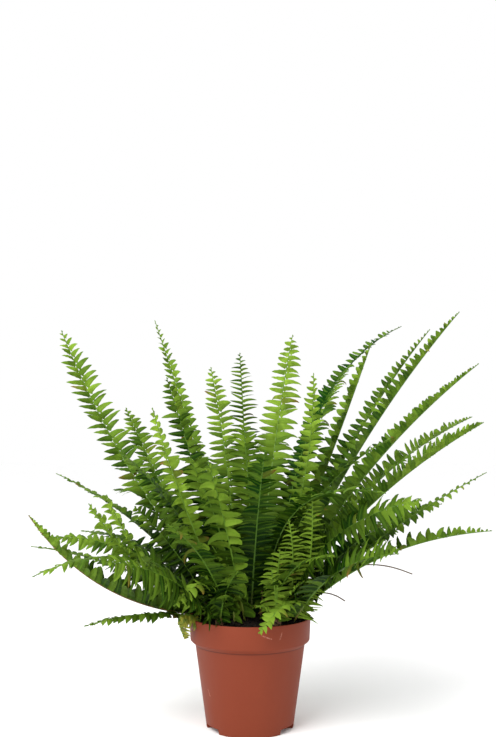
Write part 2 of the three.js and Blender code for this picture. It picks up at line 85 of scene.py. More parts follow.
# The soil's surface, as in the frame.
SOIL_RADIUS = RIM_RADIUS - POT_WALL - 0.9 * MM
SOIL_EDGE = POT_HEIGHT - 0.8 * MM
SOIL_RISE = 7 * MM

# The fronds, as in the frame.
STEM_SUNK = 8 * MM
STEM_RADIUS = 1.1 * MM
RIB_TIP_RADIUS = 0.42 * MM
BARE_SHARE = 0.035
CROWN_RADIUS = 5 * MM
CROWN_HEIGHT = 5 * MM
CROWN_ROOT = 2 * MM  # how deep the stems of a clump reach into its crown

# Of each frond: the compass turn of its tip, the tip's reach from the axis and rise above the table, how far
# the rib bows up, the length of its longest leaflets, how far they fold up, how far the blade rolls about its
# rib, where the stem leaves the soil (distance and turn) and how far the rib bends to the left as seen from
# the pot. Millimetres and degrees.
Growth = namedtuple("Growth", "turn reach rise bow leaf fold roll foot foot_turn lean", defaults=(0,))
TUFTS = {
    "tall_frond": (
        Growth(152, 246, 406, -16, 21, 36, -38, 22, 165),
        Growth(128, 183, 422, 7, 19, 42, -25, 20, 135),
        Growth(112, 119, 363, 12, 19, 15, -10, 12, 140),
        Growth(98, 80, 376, 8, 19, 10, 0, 16, 90),
        Growth(68, 133, 402, 12, 22, 12, 12, 10, 40),
        Growth(30, 78, 350, -20, 18, 20, 10, 9, 336),
        Growth(45, 265, 421, 66, 20, 38, 0, 40, 40),
        Growth(18, 137, 384, -3, 20, 58, 0, 20, 20),
        Growth(12, 231, 417, 14, 21, 58, 0, 26, 0),
        Growth(30, 241, 408, 15, 19, 55, 0, 28, 30),
        Growth(352, 227, 353, 17, 21, 60, 0, 28, 340),
    ),
    "middle_frond": (
        Growth(205, 104, 309, -5, 17, 10, 20, 22, 215),
        Growth(165, 90, 344, 2, 18, 15, -30, 18, 195),
        Growth(262, 48, 296, 6, 23, 18, 0, 16, 285),
        Growth(250, 110, 259, 4, 20, 8, 0, 38, 262),
        Growth(232, 92, 262, 10, 21, 12, 0, 26, 240),
        Growth(22, 270, 306, 26, 20, 30, 10, 36, 16),
        Growth(342, 229, 294, 16, 22, 30, 15, 34, 325),
        Growth(325, 156, 279, 26, 16, 25, 10, 24, 312),
        Growth(312, 174, 231, 52, 18, 15, 0, 30, 300),
        Growth(55, 207, 369, 25, 16, 20, 0, 34, 55),
        Growth(145, 170, 316, -2, 17, 20, -20, 32, 150),
        Growth(168, 209, 244, 15, 18, 20, 0, 34, 172),
        Growth(135, 226, 221, 40, 19, 25, 0, 36, 130),
        Growth(188, 132, 268, 14, 18, 15, -20, 24, 186),
    ),
    "low_frond": (
        Growth(350, 231, 247, 8, 20, 15, 35, 40, 352),
        Growth(337, 236, 196, 18, 20, 60, 15, 46, 348),
        Growth(190, 216, 206, -24, 19, 40, 0, 44, 189),
        Growth(176, 223, 171, 12, 17, 15, 0, 46, 173),
        Growth(201, 213, 153, 36, 17, 10, 0, 44, 206),
        Growth(205, 165, 219, -12, 15, 20, 10, 34, 213),
        Growth(157, 199, 181, 20, 17, 20, 0, 44, 156),
        Growth(222, 168, 171, 12, 24, 5, -48, 45, 224),
        Growth(196, 163, 103, 7, 14, -25, 0, 51, 196),
        Growth(319, 172, 178, 16, 20, 48, 35, 52, 324),
        Growth(4, 196, 214, 20, 19, 20, 30, 45, 2),
        Growth(332, 177, 223, 24, 20, 10, 40, 37, 320),
        Growth(193, 193, 186, 20, 19, 5, -30, 38, 200),
        Growth(214, 157, 228, -16, 13, 10, 0, 38, 219),
        Growth(180, 116, 212, 6, 20, 15, -30, 38, 180),
    ),
    "front_frond": (
        Growth(313, 84, 234, -10, 14, 10, 0, 49, 340, 3),
        Growth(299, 74, 204, 4, 15, 10, 0, 48, 318, 5),
        Growth(276, 74, 102, 24, 11, 10, 0, 54, 342, 12),
        Growth(278, 96, 268, 8, 20, 12, 0, 28, 272),
        Growth(240, 142, 204, 12, 18, 12, 0, 40, 240),
        Growth(305, 125, 175, 18, 17, 12, 10, 38, 300),
        Growth(235, 62, 178, 6, 15, 12, 0, 44, 250),
        Growth(226, 100, 126, 26, 12, 5, -15, 40, 232),
    ),
    "back_frond": (
        Growth(80, 205, 300, 34, 20, 20, 0, 26, 82),
        Growth(108, 215, 262, 34, 20, 20, 0, 30, 106),
        Growth(20, 167, 184, 16, 18, 15, 0, 46, 20),
    ),
}
# Clumps of fronds that grow from one crown, each frond's foot being the crown's.
CLUMPS = {
    "back_clump": (
        Growth(92, 205, 172, 26, 18, 15, 0, 42, 92),
        Growth(38, 222, 186, 28, 19, 15, 0, 42, 92),
        Growth(120, 205, 160, 28, 19, 15, 0, 42, 92),
        Growth(64, 225, 205, 34, 20, 20, 0, 42, 92),
        Growth(74, 172, 132, 24, 17, 15, 0, 42, 92),
    ),
    "right_clump": (
        Growth(288, 63, 158, 5, 10, 10, 0, 50, 300),
        Growth(294, 68, 176, 4, 12, 10, 0, 50, 300),
        Growth(312, 76, 147, 5, 12, 10, 0, 50, 300),
        Growth(276, 58, 124, 5, 9, 5, 0, 50, 300),
    ),
    "left_clump": (
        Growth(232, 71, 151, 8, 12, 10, 0, 51, 236),
        Growth(262, 78, 158, 8, 13, 10, 0, 51, 236),
        Growth(214, 66, 127, 12, 11, 5, 0, 51, 236),
        Growth(250, 64, 134, 6, 11, 10, 0, 51, 236),
    ),
}
WITHERED = Growth(204, 68, 88, 18, 11, -20, 0, 52, 202)
RUNNERS = (
    Growth(356, 160, 147, 27, 0, 0, 0, 53, 1),
    Growth(342, 96, 124, 15, 0, 0, 0, 53, 352),
)
OLD_STALK = Growth(290, 33, 134, 1, 0, 0, 0, 29, 292)

# What makes a frond differ from the rest: its age from 0 (old, dark) to 1 (young, yellowish) or more (every
# leaflet young), which stands partly for real age and partly for painted light and shade on the whole frond,
# the width of its leaflets against the usual one, how far each leaflet turns about its own length and how far
# it curls down towards its tip, in degrees, whether the blade ends bluntly (0) or tapers finely (1), how far
# apart its leaflets stand against the usual spacing, how brown its rib is, how long its leaflets are against
# its row's, how many degrees further up they fold and further forward they lean, and whether they get shorter
# all the way up (1) or not (0).
Habit = namedtuple("Habit", "age width tilt curl fine spacing brown size lift sweep cone")
USUAL = Habit(
    age=0.35, width=1.0, tilt=10, curl=24, fine=0.4, spacing=1.0,
    brown=0.0, size=1.08, lift=0, sweep=0, cone=0.0,
)


def habit(**changes):
    """The usual manner of growing, but for these changes."""
    return USUAL._replace(**changes)


# Some of the ages here and below are lowered to paint shade on a frond, and some raised to paint light on it.
TUFT_HABITS = {
    "tall_frond": habit(age=0.45, fine=0.1),
    "middle_frond": habit(age=0.4, size=1.15, spacing=0.88),
    "low_frond": habit(age=0.3, width=1.05, curl=28, size=1.2, spacing=0.85),
    "front_frond": habit(age=0.45, size=1.15, spacing=0.88),
    "back_frond": habit(age=0.25, size=1.3, spacing=0.85),
    "back_clump": habit(age=0.25, size=1.3, spacing=0.85),
    "right_clump": habit(age=1.0, width=0.65, tilt=24, curl=40, size=1.5, spacing=0.7),
    "left_clump": habit(age=0.35, width=0.85, tilt=22, curl=40, size=1.4, spacing=0.8),
}
HABITS = {
    "tall_frond_1": habit(age=0.55, width=0.9, fine=0.0, spacing=1.1, lift=4, size=1.04),
    "tall_frond_2": habit(age=0.55, fine=0.1, lift=3, cone=0.5, size=0.85, spacing=1.05),
    "tall_frond_3": habit(age=0.7, width=0.85, fine=0.1, cone=0.35, size=1.15, spacing=0.95),
    "tall_frond_4": habit(age=0.3, width=0.62, tilt=40, fine=0.1, spacing=0.7, size=1.1, cone=0.25),
    "tall_frond_5": habit(age=0.72, width=0.95, curl=30, fine=0.0, spacing=1.08, cone=0.4, size=1.25),
    "tall_frond_6": habit(age=0.85, width=0.9, fine=0.2, cone=0.3, size=1.2, spacing=0.9),
    "tall_frond_7": habit(age=0.1, width=0.85, fine=0.5, size=0.7, spacing=1.15),
    "tall_frond_8": habit(age=0.5, width=1.1, fine=0.5, lift=10, sweep=-8, cone=0.6, size=1.1, spacing=1.1),
    "tall_frond_9": habit(age=0.45, width=0.95, fine=0.9, lift=10, sweep=-8, size=1.1, cone=0.4),
    "tall_frond_10": habit(age=0.45, width=0.95, fine=0.9, lift=10, sweep=-8, size=1.05, cone=0.4),
    "tall_frond_11": habit(age=0.45, width=0.95, fine=0.9, lift=8, sweep=-8, size=1.05, cone=0.4),
    "middle_frond_1": habit(age=0.8, spacing=0.95),
    "middle_frond_2": habit(age=0.3, size=1.25, spacing=0.9, curl=40, tilt=20),
    "middle_frond_3": habit(age=0.42, spacing=0.8, size=1.05),
    "middle_frond_4": habit(age=0.65, width=0.9, tilt=26, curl=62, spacing=1.2),
    "middle_frond_6": habit(age=0.5, fine=0.8, lift=20, size=1.05, spacing=0.75, sweep=8),
    "middle_frond_7": habit(age=0.52, fine=0.8, lift=40, size=1.05, spacing=0.75, sweep=8),
    "middle_frond_9": habit(age=0.3, size=1.2, spacing=0.8),
    "middle_frond_12": habit(age=0.45, width=1.15, fine=0.9, lift=6, size=1.15, cone=0.5, spacing=0.85),
    "middle_frond_13": habit(age=0.25, size=1.3, spacing=0.85),
    "middle_frond_14": habit(age=0.3, size=1.3, spacing=0.8),
    "low_frond_1": habit(age=0.52, fine=1.0, size=0.9, cone=0.75, spacing=1.05),
    "low_frond_2": habit(age=0.5, width=0.8, fine=1.0, lift=4, curl=8, sweep=-6, cone=0.3, spacing=1.3),
    "low_frond_3": habit(age=0.5, width=1.15, fine=1.0, brown=0.7, lift=16, size=2.0, spacing=0.9, cone=0.8),
    "low_frond_4": habit(age=0.45, width=1.15, fine=1.0, size=1.6, spacing=0.75, cone=0.6),
    "low_frond_5": habit(age=0.5, width=1.15, fine=0.5, size=1.4, spacing=0.8, cone=0.2),
    "low_frond_6": habit(age=0.8, fine=0.1, size=1.4, curl=46, tilt=20, spacing=0.8),
    "low_frond_7": habit(age=0.25, size=1.3, spacing=0.85),
    "low_frond_8": habit(age=0.45, spacing=0.55, curl=40, size=1.2),
    "low_frond_9": habit(age=0.7, width=1.3, tilt=20, curl=30, fine=0.8, lift=24, size=0.9, spacing=0.8),
    "low_frond_10": habit(age=0.35, size=1.3, spacing=0.75, lift=-14),
    "low_frond_11": habit(age=0.3, size=1.0, fine=0.8),
    "low_frond_12": habit(age=0.35, width=1.2, size=1.4, spacing=0.75),
    "low_frond_13": habit(age=0.45, width=1.2, fine=0.8, size=1.7, spacing=0.75, cone=0.5),
    "low_frond_14": habit(age=0.8, fine=0.1, size=1.4, curl=46, tilt=20, spacing=0.8),
    "low_frond_15": habit(age=0.35, size=1.3, spacing=0.75),
    "front_frond_1": habit(age=1.6, width=0.5, tilt=25, curl=40, cone=0.6, size=1.6, spacing=0.6),
    "front_frond_2": habit(age=1.6, width=0.45, tilt=25, curl=40, cone=0.85, size=2.0, spacing=0.6),
    "front_frond_3": habit(age=0.9, width=1.1, fine=0.7, size=1.25, spacing=0.75),
    "front_frond_4": habit(age=0.08, size=1.0, spacing=0.85),
    "front_frond_5": habit(age=0.3, size=1.1, spacing=0.85),
    "front_frond_6": habit(age=0.4, size=1.2, spacing=0.8),
    "front_frond_7": habit(age=0.95, cone=1.0, size=1.2, curl=30, spacing=0.8),
    "front_frond_8": habit(age=0.9, fine=0.7, size=1.2),
}

# ------------------------------------------------------------------------------------------- working by hand


def pick_none():
    bpy.ops.object.select_all(action="DESELECT")


def pick(*pieces):
    """Selects only these objects and makes the first one active."""
    pick_none()
    for piece in pieces:
        piece.select_set(True)
    bpy.context.view_layer.objects.active = pieces[0]


def fresh(add, name, **how):
    """Adds a primitive with nothing else selected, and returns its object."""
    pick_none()
    add(**how)
    piece = bpy.context.object
    piece.name = piece.data.name = name
    return piece


@contextmanager
def editing(piece, select="FACE"):
    """Edit mode on one piece, with nothing selected in it."""
    pick(piece)
    bpy.ops.object.mode_set(mode="EDIT")
    bpy.ops.mesh.select_mode(type=select)
    bpy.ops.mesh.select_all(action="DESELECT")
    yield bmesh.from_edit_mesh(piece.data)
    bpy.ops.object.mode_set(mode="OBJECT")


def select_where(piece, mesh, kind, test):
    """Selects the vertices, edges or faces that pass a test."""
    for item in getattr(mesh, kind):
        if test(item):
            item.select_set(True)
    bmesh.update_edit_mesh(piece.data)


def settle(piece):
    """Puts a piece's place into its mesh, so that its object sits at the origin."""
    pick(piece)
    bpy.ops.object.transform_apply(location=True, rotation=True, scale=True)


def draw_out(step):
    """Extrudes what is selected by a step."""
    bpy.ops.mesh.extrude_region_move(TRANSFORM_OT_translate={"value": step})


def outward(piece):
    """Turns a closed piece's faces outwards."""
    with editing(piece):
        bpy.ops.mesh.select_all(action="SELECT")
        bpy.ops.mesh.normals_make_consistent(inside=False)


def carve(piece, tool, operation):
    """Joins a tool to a piece or cuts it out of it, and takes the tool away."""
    pick(piece)
    boolean = piece.modifiers.new("carve", "BOOLEAN")
    boolean.operation = operation
    boolean.solver = "EXACT"
    boolean.object = tool
    bpy.ops.object.modifier_apply(modifier=boolean.name)
    discard(tool)


def discard(*pieces):
    for piece in pieces:
        bpy.data.objects.remove(piece)


def smooth(piece, angle):
    """Shades a piece smooth, but for edges sharper than an angle in degrees."""
    pick(piece)
    bpy.ops.object.shade_smooth_by_angle(angle=math.radians(angle))


def wear(piece, *materials):
    """Gives a piece its materials, in order."""
    piece.data.materials.clear()
    for material in materials:
        piece.data.materials.append(material)


def finish_piece(piece, slot, *nodes):
    """The piece rides on the part, and stands for its nodes in the frame."""
    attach(piece, BODY)
    if nodes:
        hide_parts(*nodes)


def linear(colour):
    """A colour given as red, green and blue from 0 to 255, as the shaders take it."""
    shares = [c / 255 for c in colour]
    return (*[c / 12.92 if c <= 0.04045 else ((c + 0.055) / 1.055) ** 2.4 for c in shares], 1)


# ------------------------------------------------------------------------------------------- materials


class Nodes:
    """A material or node group being wired up."""

    def __init__(self, tree):
        self.tree = tree

    def add(self, kind, **inputs):
        """A new node with values or links in its sockets; i0, i1 and so on name a socket by its number."""
        node = self.tree.nodes.new(kind)
        for name, value in inputs.items():
            self.set(node, name, value)
        return node

    def set(self, node, name, value):
        numbered = name[0] == "i" and name[1:].isdigit()
        socket = node.inputs[int(name[1:]) if numbered else name]
        if isinstance(value, bpy.types.NodeSocket):
            self.tree.links.new(value, socket)
        else:
            socket.default_value = value

    def math(self, operation, first, second=0.0, clamp=False):
        node = self.tree.nodes.new("ShaderNodeMath")
        node.operation = operation
        node.use_clamp = clamp
        self.set(node, "i0", first)
        self.set(node, "i1", second)
        return node.outputs[0]

    def mix(self, factor, first, second, blend="MIX"):
        node = self.tree.nodes.new("ShaderNodeMix")
        node.data_type = "RGBA"
        node.blend_type = blend
        self.set(node, "i0", factor)
        self.set(node, "i6", first)
        self.set(node, "i7", second)
        return node.outputs[2]

    def vector(self, operation, first, second=(0, 0, 0)):
        """Vector arithmetic; a dot product or length comes out as a number."""
        node = self.tree.nodes.new("ShaderNodeVectorMath")
        node.operation = operation
        self.set(node, "i0", first)
        self.set(node, "i1", second)
        return node.outputs["Value" if operation in ("DOT_PRODUCT", "LENGTH") else "Vector"]

    def noise(self, vector, scale, detail=3.0, roughness=0.5):
        how = {"Scale": scale, "Detail": detail, "Roughness": roughness}
        return self.add("ShaderNodeTexNoise", Vector=vector, **how).outputs["Fac"]

    def spread(self, value, low, high, to_low=0.0, to_high=1.0):
        """A value between low and high, spread smoothly over another range."""
        node = self.tree.nodes.new("ShaderNodeMapRange")
        node.interpolation_type = "SMOOTHSTEP"
        limits = {"From Min": low, "From Max": high, "To Min": to_low, "To Max": to_high}
        for name, number in {"Value": value, **limits}.items():
            self.set(node, name, number)
        return node.outputs["Result"]

    def attribute(self, name):
        """A number that mark() wrote into the mesh."""
        node = self.tree.nodes.new("ShaderNodeAttribute")
        node.attribute_name = name
        return node.outputs["Fac"]

    def bump(self, height, strength, distance):
        node = self.add("ShaderNodeBump", Height=height, Strength=strength, Distance=distance)
        return node.outputs["Normal"]


def new_material(name):
    """An empty node material, its wiring and its Principled shader."""
    material = bpy.data.materials.new(name)
    material.use_nodes = True
    material.node_tree.nodes.clear()
    nodes = Nodes(material.node_tree)
    shader = nodes.add("ShaderNodeBsdfPrincipled")
    return material, nodes, shader


def show(nodes, surface):
    output = nodes.add("ShaderNodeOutputMaterial")
    nodes.tree.links.new(surface, output.inputs["Surface"])


def show_thin(nodes, shader, colour, share):
    """Lets a share of the light shine through a thin leaf."""
    through = nodes.add("ShaderNodeBsdfTranslucent", Color=colour)
    both = nodes.add("ShaderNodeMixShader", i0=share, i1=shader.outputs[0], i2=through.outputs[0])
    show(nodes, both.outputs[0])


def object_place(nodes):
    return nodes.tree.nodes.new("ShaderNodeTexCoord").outputs["Object"]


PAINTED_SHADE_HEART = (0, 0, 0.12)  # the middle of the tuft, round which leaflets get painted shade, the old ones most
PAINTED_SHADE_NEAR = 50 * MM  # up to this far from it the painted shade is full; it fades out by the distance below
PAINTED_SHADE_FAR = 270 * MM
VEIN_WIDTH = 0.07  # of the leaflet's width
SIDE_VEINS = 62.0  # radians of side veins along a leaflet
SIDE_VEIN_LEAN = 40.0  # how far they lean towards the tip, in radians over the width


def leaf_material(name, settings):
    """Thin green leaf: paler along its vein, yellower when young, brown where it dries, and darkened by
    painted shade towards the middle of the tuft.
    """
    material, nodes, shader = new_material(name)
    place = object_place(nodes)
    uv = nodes.tree.nodes.new("ShaderNodeUVMap")
    uv.uv_map = "leaflet"
    parts = nodes.add("ShaderNodeSeparateXYZ", Vector=uv.outputs["UV"])
    along, across = parts.outputs["X"], parts.outputs["Y"]
    off_vein = nodes.math("ABSOLUTE", nodes.math("SUBTRACT", across, 0.5))
    age = nodes.attribute("age")
    dry = nodes.attribute("dry")
    patches = nodes.noise(place, 90.0, 3.0)
    green = nodes.mix(age, settings.old_leaf, settings.young_leaf)
    mottle = nodes.spread(patches, 0.35, 0.7, 0.0, 0.5)
    # Painted shade: leaflets darken towards the middle of the tuft, as if shaded by the fronds round them,
    # young ones less. It shares one mask with the real darker patches.
    from_shade_heart = nodes.vector("LENGTH", nodes.vector("SUBTRACT", place, PAINTED_SHADE_HEART))
    inside = nodes.spread(from_shade_heart, PAINTED_SHADE_NEAR, PAINTED_SHADE_FAR, 0.95, 0.0)
    old = nodes.math("SUBTRACT", 1.0, nodes.math("MULTIPLY", age, 0.7))
    patch_and_painted_shade_mask = nodes.math("MAXIMUM", mottle, nodes.math("MULTIPLY", inside, old))
    green = nodes.mix(patch_and_painted_shade_mask, green, settings.patch_and_painted_shade_leaf)
    vein = nodes.spread(off_vein, 0.0, VEIN_WIDTH, 0.35, 0.0)
    green = nodes.mix(vein, green, settings.vein)
    ladder = nodes.math("MULTIPLY", along, SIDE_VEINS)
    ladder = nodes.math("ADD", ladder, nodes.math("MULTIPLY", off_vein, -SIDE_VEIN_LEAN))
    side_veins = nodes.math("SINE", ladder)
    green = nodes.mix(nodes.spread(side_veins, 0.2, 1.0, 0.0, 0.08), green, settings.vein)
    edge_dry = nodes.math("MULTIPLY", dry, nodes.spread(along, 0.45, 1.0, 0.2, 1.0))
    brown = nodes.mix(patches, settings.dry_leaf, settings.dead_leaf)
    colour = nodes.mix(edge_dry, green, brown)
    groove = nodes.spread(off_vein, 0.0, 0.12, 0.0, 1.0)
    relief = nodes.math("ADD", nodes.math("MULTIPLY", side_veins, 0.25), groove)
    nodes.set(shader, "Base Color", colour)
    nodes.set(shader, "Roughness", nodes.spread(patches, 0.3, 0.7, 0.45, 0.62))
    nodes.set(shader, "Specular IOR Level", 0.07)
    nodes.set(shader, "Normal", nodes.bump(relief, 0.4, 0.0004))
    show_thin(nodes, shader, nodes.mix(0.5, colour, settings.backlit_leaf), 0.25)
    return material


def withered_material(name, settings):
    """A dying leaf: yellow, going brown towards its edges."""
    material, nodes, shader = new_material(name)
    place = object_place(nodes)
    patches = nodes.noise(place, 180.0, 4.0)
    greener = nodes.spread(patches, 0.4, 0.62)
    colour = nodes.mix(greener, settings.withered_leaf, settings.withered_green)
    colour = nodes.mix(nodes.spread(patches, 0.62, 0.8), colour, settings.dry_leaf)
    nodes.set(shader, "Base Color", colour)
    nodes.set(shader, "Roughness", 0.7)
    nodes.set(shader, "Normal", nodes.bump(patches, 0.4, 0.0005))
    show_thin(nodes, shader, colour, 0.3)
    return material


def rib_material(name, settings):
    """Ribs and stems: light green, brown and rough towards the soil."""
    material, nodes, shader = new_material(name)
    place = object_place(nodes)
    growth = nodes.attribute("growth")
    streaks = nodes.noise(place, 260.0, 3.0)
    low = nodes.spread(growth, 0.02, 0.2, 1.0, 0.0)
    low = nodes.math("MULTIPLY", low, nodes.spread(streaks, 0.3, 0.6, 0.5, 1.0))
    colour = nodes.mix(low, settings.rib, settings.stem_foot)
    young = nodes.math("MULTIPLY", nodes.attribute("age"), 0.25)
    colour = nodes.mix(young, colour, settings.young_leaf)
    colour = nodes.mix(nodes.attribute("dry"), colour, settings.dry_rib)
    nodes.set(shader, "Base Color", colour)
    nodes.set(shader, "Roughness", 0.5)
    nodes.set(shader, "Specular IOR Level", 0.25)
    nodes.set(shader, "Normal", nodes.bump(streaks, 0.3, 0.0003))
    show(nodes, shader.outputs[0])
    return material


def brown_material(name, settings):
    """Wiry runners and the dead stalk."""
    material, nodes, shader = new_material(name)
    place = object_place(nodes)
    streaks = nodes.noise(place, 400.0, 4.0)
    colour = nodes.mix(streaks, settings.dead_leaf, settings.stem_foot)
    nodes.set(shader, "Base Color", colour)
    nodes.set(shader, "Roughness", 0.75)
    nodes.set(shader, "Normal", nodes.bump(streaks, 0.5, 0.0004))
    show(nodes, shader.outputs[0])
    return material


# Half-width of the painted shadow line under the band.
BAND_SHADOW_WIDTH = 0.9 * MM
SCRATCH_WIDTH = 0.8 * MM
SCRATCH_STRENGTH = 0.5

# Each scratch by the turn and height of its two ends, on the band or the cup, in degrees and millimetres.
SCRATCHES = (
    ((281, 97), (285.5, 95)),
    ((285.5, 95), (289.5, 93.6)),
    ((300, 98.5), (298, 92.5)),
    ((172, 96), (178, 91)),
    ((40, 58), (48, 49)),
    ((120, 95), (123, 88)),
    ((214, 41), (217, 35)),
    ((350, 30), (344, 26)),
)


def scratch_group():
    """How strongly a short fine scratch between two points marks the pot, seen from one side of it."""
    group = bpy.data.node_groups.get("scratch")
    if group:
        return group
    group = bpy.data.node_groups.new("scratch", "ShaderNodeTree")
    for name in ("Place", "Start", "End"):
        group.interface.new_socket(name, in_out="INPUT", socket_type="NodeSocketVector")
    group.interface.new_socket("Width", in_out="INPUT", socket_type="NodeSocketFloat")
    group.interface.new_socket("Mask", in_out="OUTPUT", socket_type="NodeSocketFloat")
    nodes = Nodes(group)
    given = group.nodes.new("NodeGroupInput").outputs
    course = nodes.vector("SUBTRACT", given["End"], given["Start"])
    off = nodes.vector("SUBTRACT", given["Place"], given["Start"])
    size = nodes.vector("DOT_PRODUCT", course, course)
    share = nodes.math("DIVIDE", nodes.vector("DOT_PRODUCT", off, course), size, clamp=True)
    nearest = nodes.add("ShaderNodeVectorMath", i0=course)
    nearest.operation = "SCALE"
    nodes.set(nearest, "Scale", share)
    gap = nodes.vector("LENGTH", nodes.vector("SUBTRACT", off, nearest.outputs[0]))
    line = nodes.math("SUBTRACT", 1.0, nodes.math("DIVIDE", gap, given["Width"]), clamp=True)
    broken = nodes.spread(nodes.noise(given["Place"], 1500.0, 2.0), 0.35, 0.6)
    result = group.nodes.new("NodeGroupOutput")
    nodes.set(result, "Mask", nodes.math("MULTIPLY", line, broken))
    return group


def scratch_end(turn, height):
    """The place of a scratch's end on the pot's outside."""
    height *= MM
    if height > BAND_FOOT_HEIGHT:
        share = (height - BAND_FOOT_HEIGHT) / (POT_HEIGHT - BAND_FOOT_HEIGHT)
        radius = BAND_FOOT_RADIUS + (RIM_RADIUS - BAND_FOOT_RADIUS) * share
    else:
        radius = FOOT_RADIUS + (SHOULDER_RADIUS - FOOT_RADIUS) * height / SHOULDER_HEIGHT
    return tuple(polar(radius, turn, height))


def plastic_material(name, settings):
    """Matte terracotta-coloured plastic: cloudy, with a painted shadow line under the band, and a few pale
    scratches.
    """
    material, nodes, shader = new_material(name)
    place = object_place(nodes)
    clouds = nodes.noise(place, 16.0, 4.0)
    grain = nodes.noise(place, 900.0, 2.0)
    height = nodes.add("ShaderNodeSeparateXYZ", Vector=place).outputs["Z"]
    pale = nodes.spread(clouds, 0.35, 0.7, 0.0, 0.5)
    colour = nodes.mix(pale, settings.plastic, settings.plastic_pale)
    colour = nodes.mix(nodes.spread(grain, 0.55, 0.8, 0.0, 0.25), colour, settings.plastic_dark)
    # Painted shadow: a thin dark line just under the band, where its lower edge shades the cup.
    off_band_shadow = nodes.math("ABSOLUTE", nodes.math("SUBTRACT", height, SHOULDER_HEIGHT))
    band_shadow_mask = nodes.spread(off_band_shadow, 0, BAND_SHADOW_WIDTH, 0.75, 0.0)
    colour = nodes.mix(band_shadow_mask, colour, settings.painted_band_shadow)
    for start, end in SCRATCHES:
        mark = nodes.tree.nodes.new("ShaderNodeGroup")
        mark.node_tree = scratch_group()
        ends = {"Start": scratch_end(*start), "End": scratch_end(*end)}
        for socket, value in {"Place": place, "Width": SCRATCH_WIDTH, **ends}.items():
            nodes.set(mark, socket, value)
        strength = nodes.math("MULTIPLY", mark.outputs["Mask"], SCRATCH_STRENGTH)
        colour = nodes.mix(strength, colour, settings.scratch)
    nodes.set(shader, "Base Color", colour)
    nodes.set(shader, "Roughness", nodes.spread(clouds, 0.3, 0.7, 0.48, 0.62))
    nodes.set(shader, "Specular IOR Level", 0.2)
    nodes.set(shader, "Normal", nodes.bump(grain, 0.12, 0.0003))
    show(nodes, shader.outputs[0])
    return material


def peat_material(name, settings):
    """Moist peat: nearly black, with brown and tan crumbs."""
    material, nodes, shader = new_material(name)
    place = object_place(nodes)
    clods = nodes.noise(place, 260.0, 5.0, 0.7)
    fibres = nodes.noise(place, 700.0, 3.0)
    colour = nodes.mix(nodes.spread(clods, 0.45, 0.75), settings.peat_dark, settings.peat)
    colour = nodes.mix(nodes.spread(fibres, 0.66, 0.76, 0.0, 0.5), colour, settings.peat_fibre)
    nodes.set(shader, "Base Color", colour)
    nodes.set(shader, "Roughness", 0.95)
    nodes.set(shader, "Specular IOR Level", 0.2)
    nodes.set(shader, "Normal", nodes.bump(clods, 0.9, 0.001))
    show(nodes, shader.outputs[0])
    return material


def bits_material(name, settings):
    """Pale bits of fibre and bark in the peat."""
    material, nodes, shader = new_material(name)
    shade = nodes.noise(object_place(nodes), 120.0, 2.0)
    colour = nodes.mix(nodes.spread(shade, 0.4, 0.6), settings.peat, settings.peat_fibre)
    nodes.set(shader, "Base Color", colour)
    nodes.set(shader, "Roughness", 0.9)
    show(nodes, shader.outputs[0])
    return material


def floor_material(name, settings):
    """The plain pale floor."""
    material, nodes, shader = new_material(name)
    nodes.set(shader, "Base Color", settings.floor)
    nodes.set(shader, "Roughness", 0.9)
    nodes.set(shader, "Specular IOR Level", 0.1)
    show(nodes, shader.outputs[0])
    return material


MATERIALS = {
    "fern_leaf": leaf_material,
    "withered_leaf": withered_material,
    "fern_rib": rib_material,
    "dry_stem": brown_material,
    "nursery_plastic": plastic_material,
    "moist_peat": peat_material,
    "peat_bits": bits_material,
    "studio_floor": floor_material,
}


def material_for(name, settings):
    """Each material is made once and then used again. None has the name of a slot of the frame."""
    return bpy.data.materials.get(name) or MATERIALS[name](name, settings)


# ------------------------------------------------------------------------------------------- fronds


def polar(distance, turn, height):
    """The point at a distance and compass turn (in degrees) from the pot's axis."""
    angle = math.radians(turn)
    return Vector((distance * math.cos(angle), distance * math.sin(angle), height))


def soil_height(distance):
    """How high the heaped soil stands at a distance from the pot's axis."""
    share = min(1.0, distance / SOIL_RADIUS)
    return SOIL_EDGE + SOIL_RISE * (1 - share * share)


class Rib:
    """The curve of a frond's rib, from the soil to its tip, and the blade's directions along it."""

    STEPS = 200

    def __init__(self, growth):
        self.growth = growth
        foot = growth.foot * MM
        self.foot = polar(foot, growth.foot_turn, soil_height(foot))
        self.tip = polar(growth.reach * MM, growth.turn, growth.rise * MM)
        chord = self.tip - self.foot
        self.across = Vector((-chord.y, chord.x, 0)).normalized()
        above = chord.cross(self.across).normalized()
        bend = above * growth.bow * MM + self.across * growth.lean * MM
        self.handle = (self.foot + self.tip) / 2 + 2 * bend
        places = [self.point(i / self.STEPS) for i in range(self.STEPS + 1)]
        steps = [(b - a).length for a, b in zip(places, places[1:])]
        self.run = np.concatenate(([0], np.cumsum(steps)))
        self.length = self.run[-1]

    def point(self, t):
        return self.foot * (1 - t) ** 2 + self.handle * 2 * t * (1 - t) + self.tip * t * t

    def at(self, share):
        """The point at a share of the length, and the ways along, to the left of and up from the blade."""
        t = float(np.interp(share * self.length, self.run, np.linspace(0, 1, self.STEPS + 1)))
        along = ((self.handle - self.foot) * (1 - t) + (self.tip - self.handle) * t).normalized()
        side = (self.across - along * self.across.dot(along)).normalized()
        turn = math.radians(self.growth.roll) * min(1.0, 2 * share)
        side = side * math.cos(turn) + along.cross(side) * math.sin(turn)
        return self.point(t), along, side, along.cross(side)


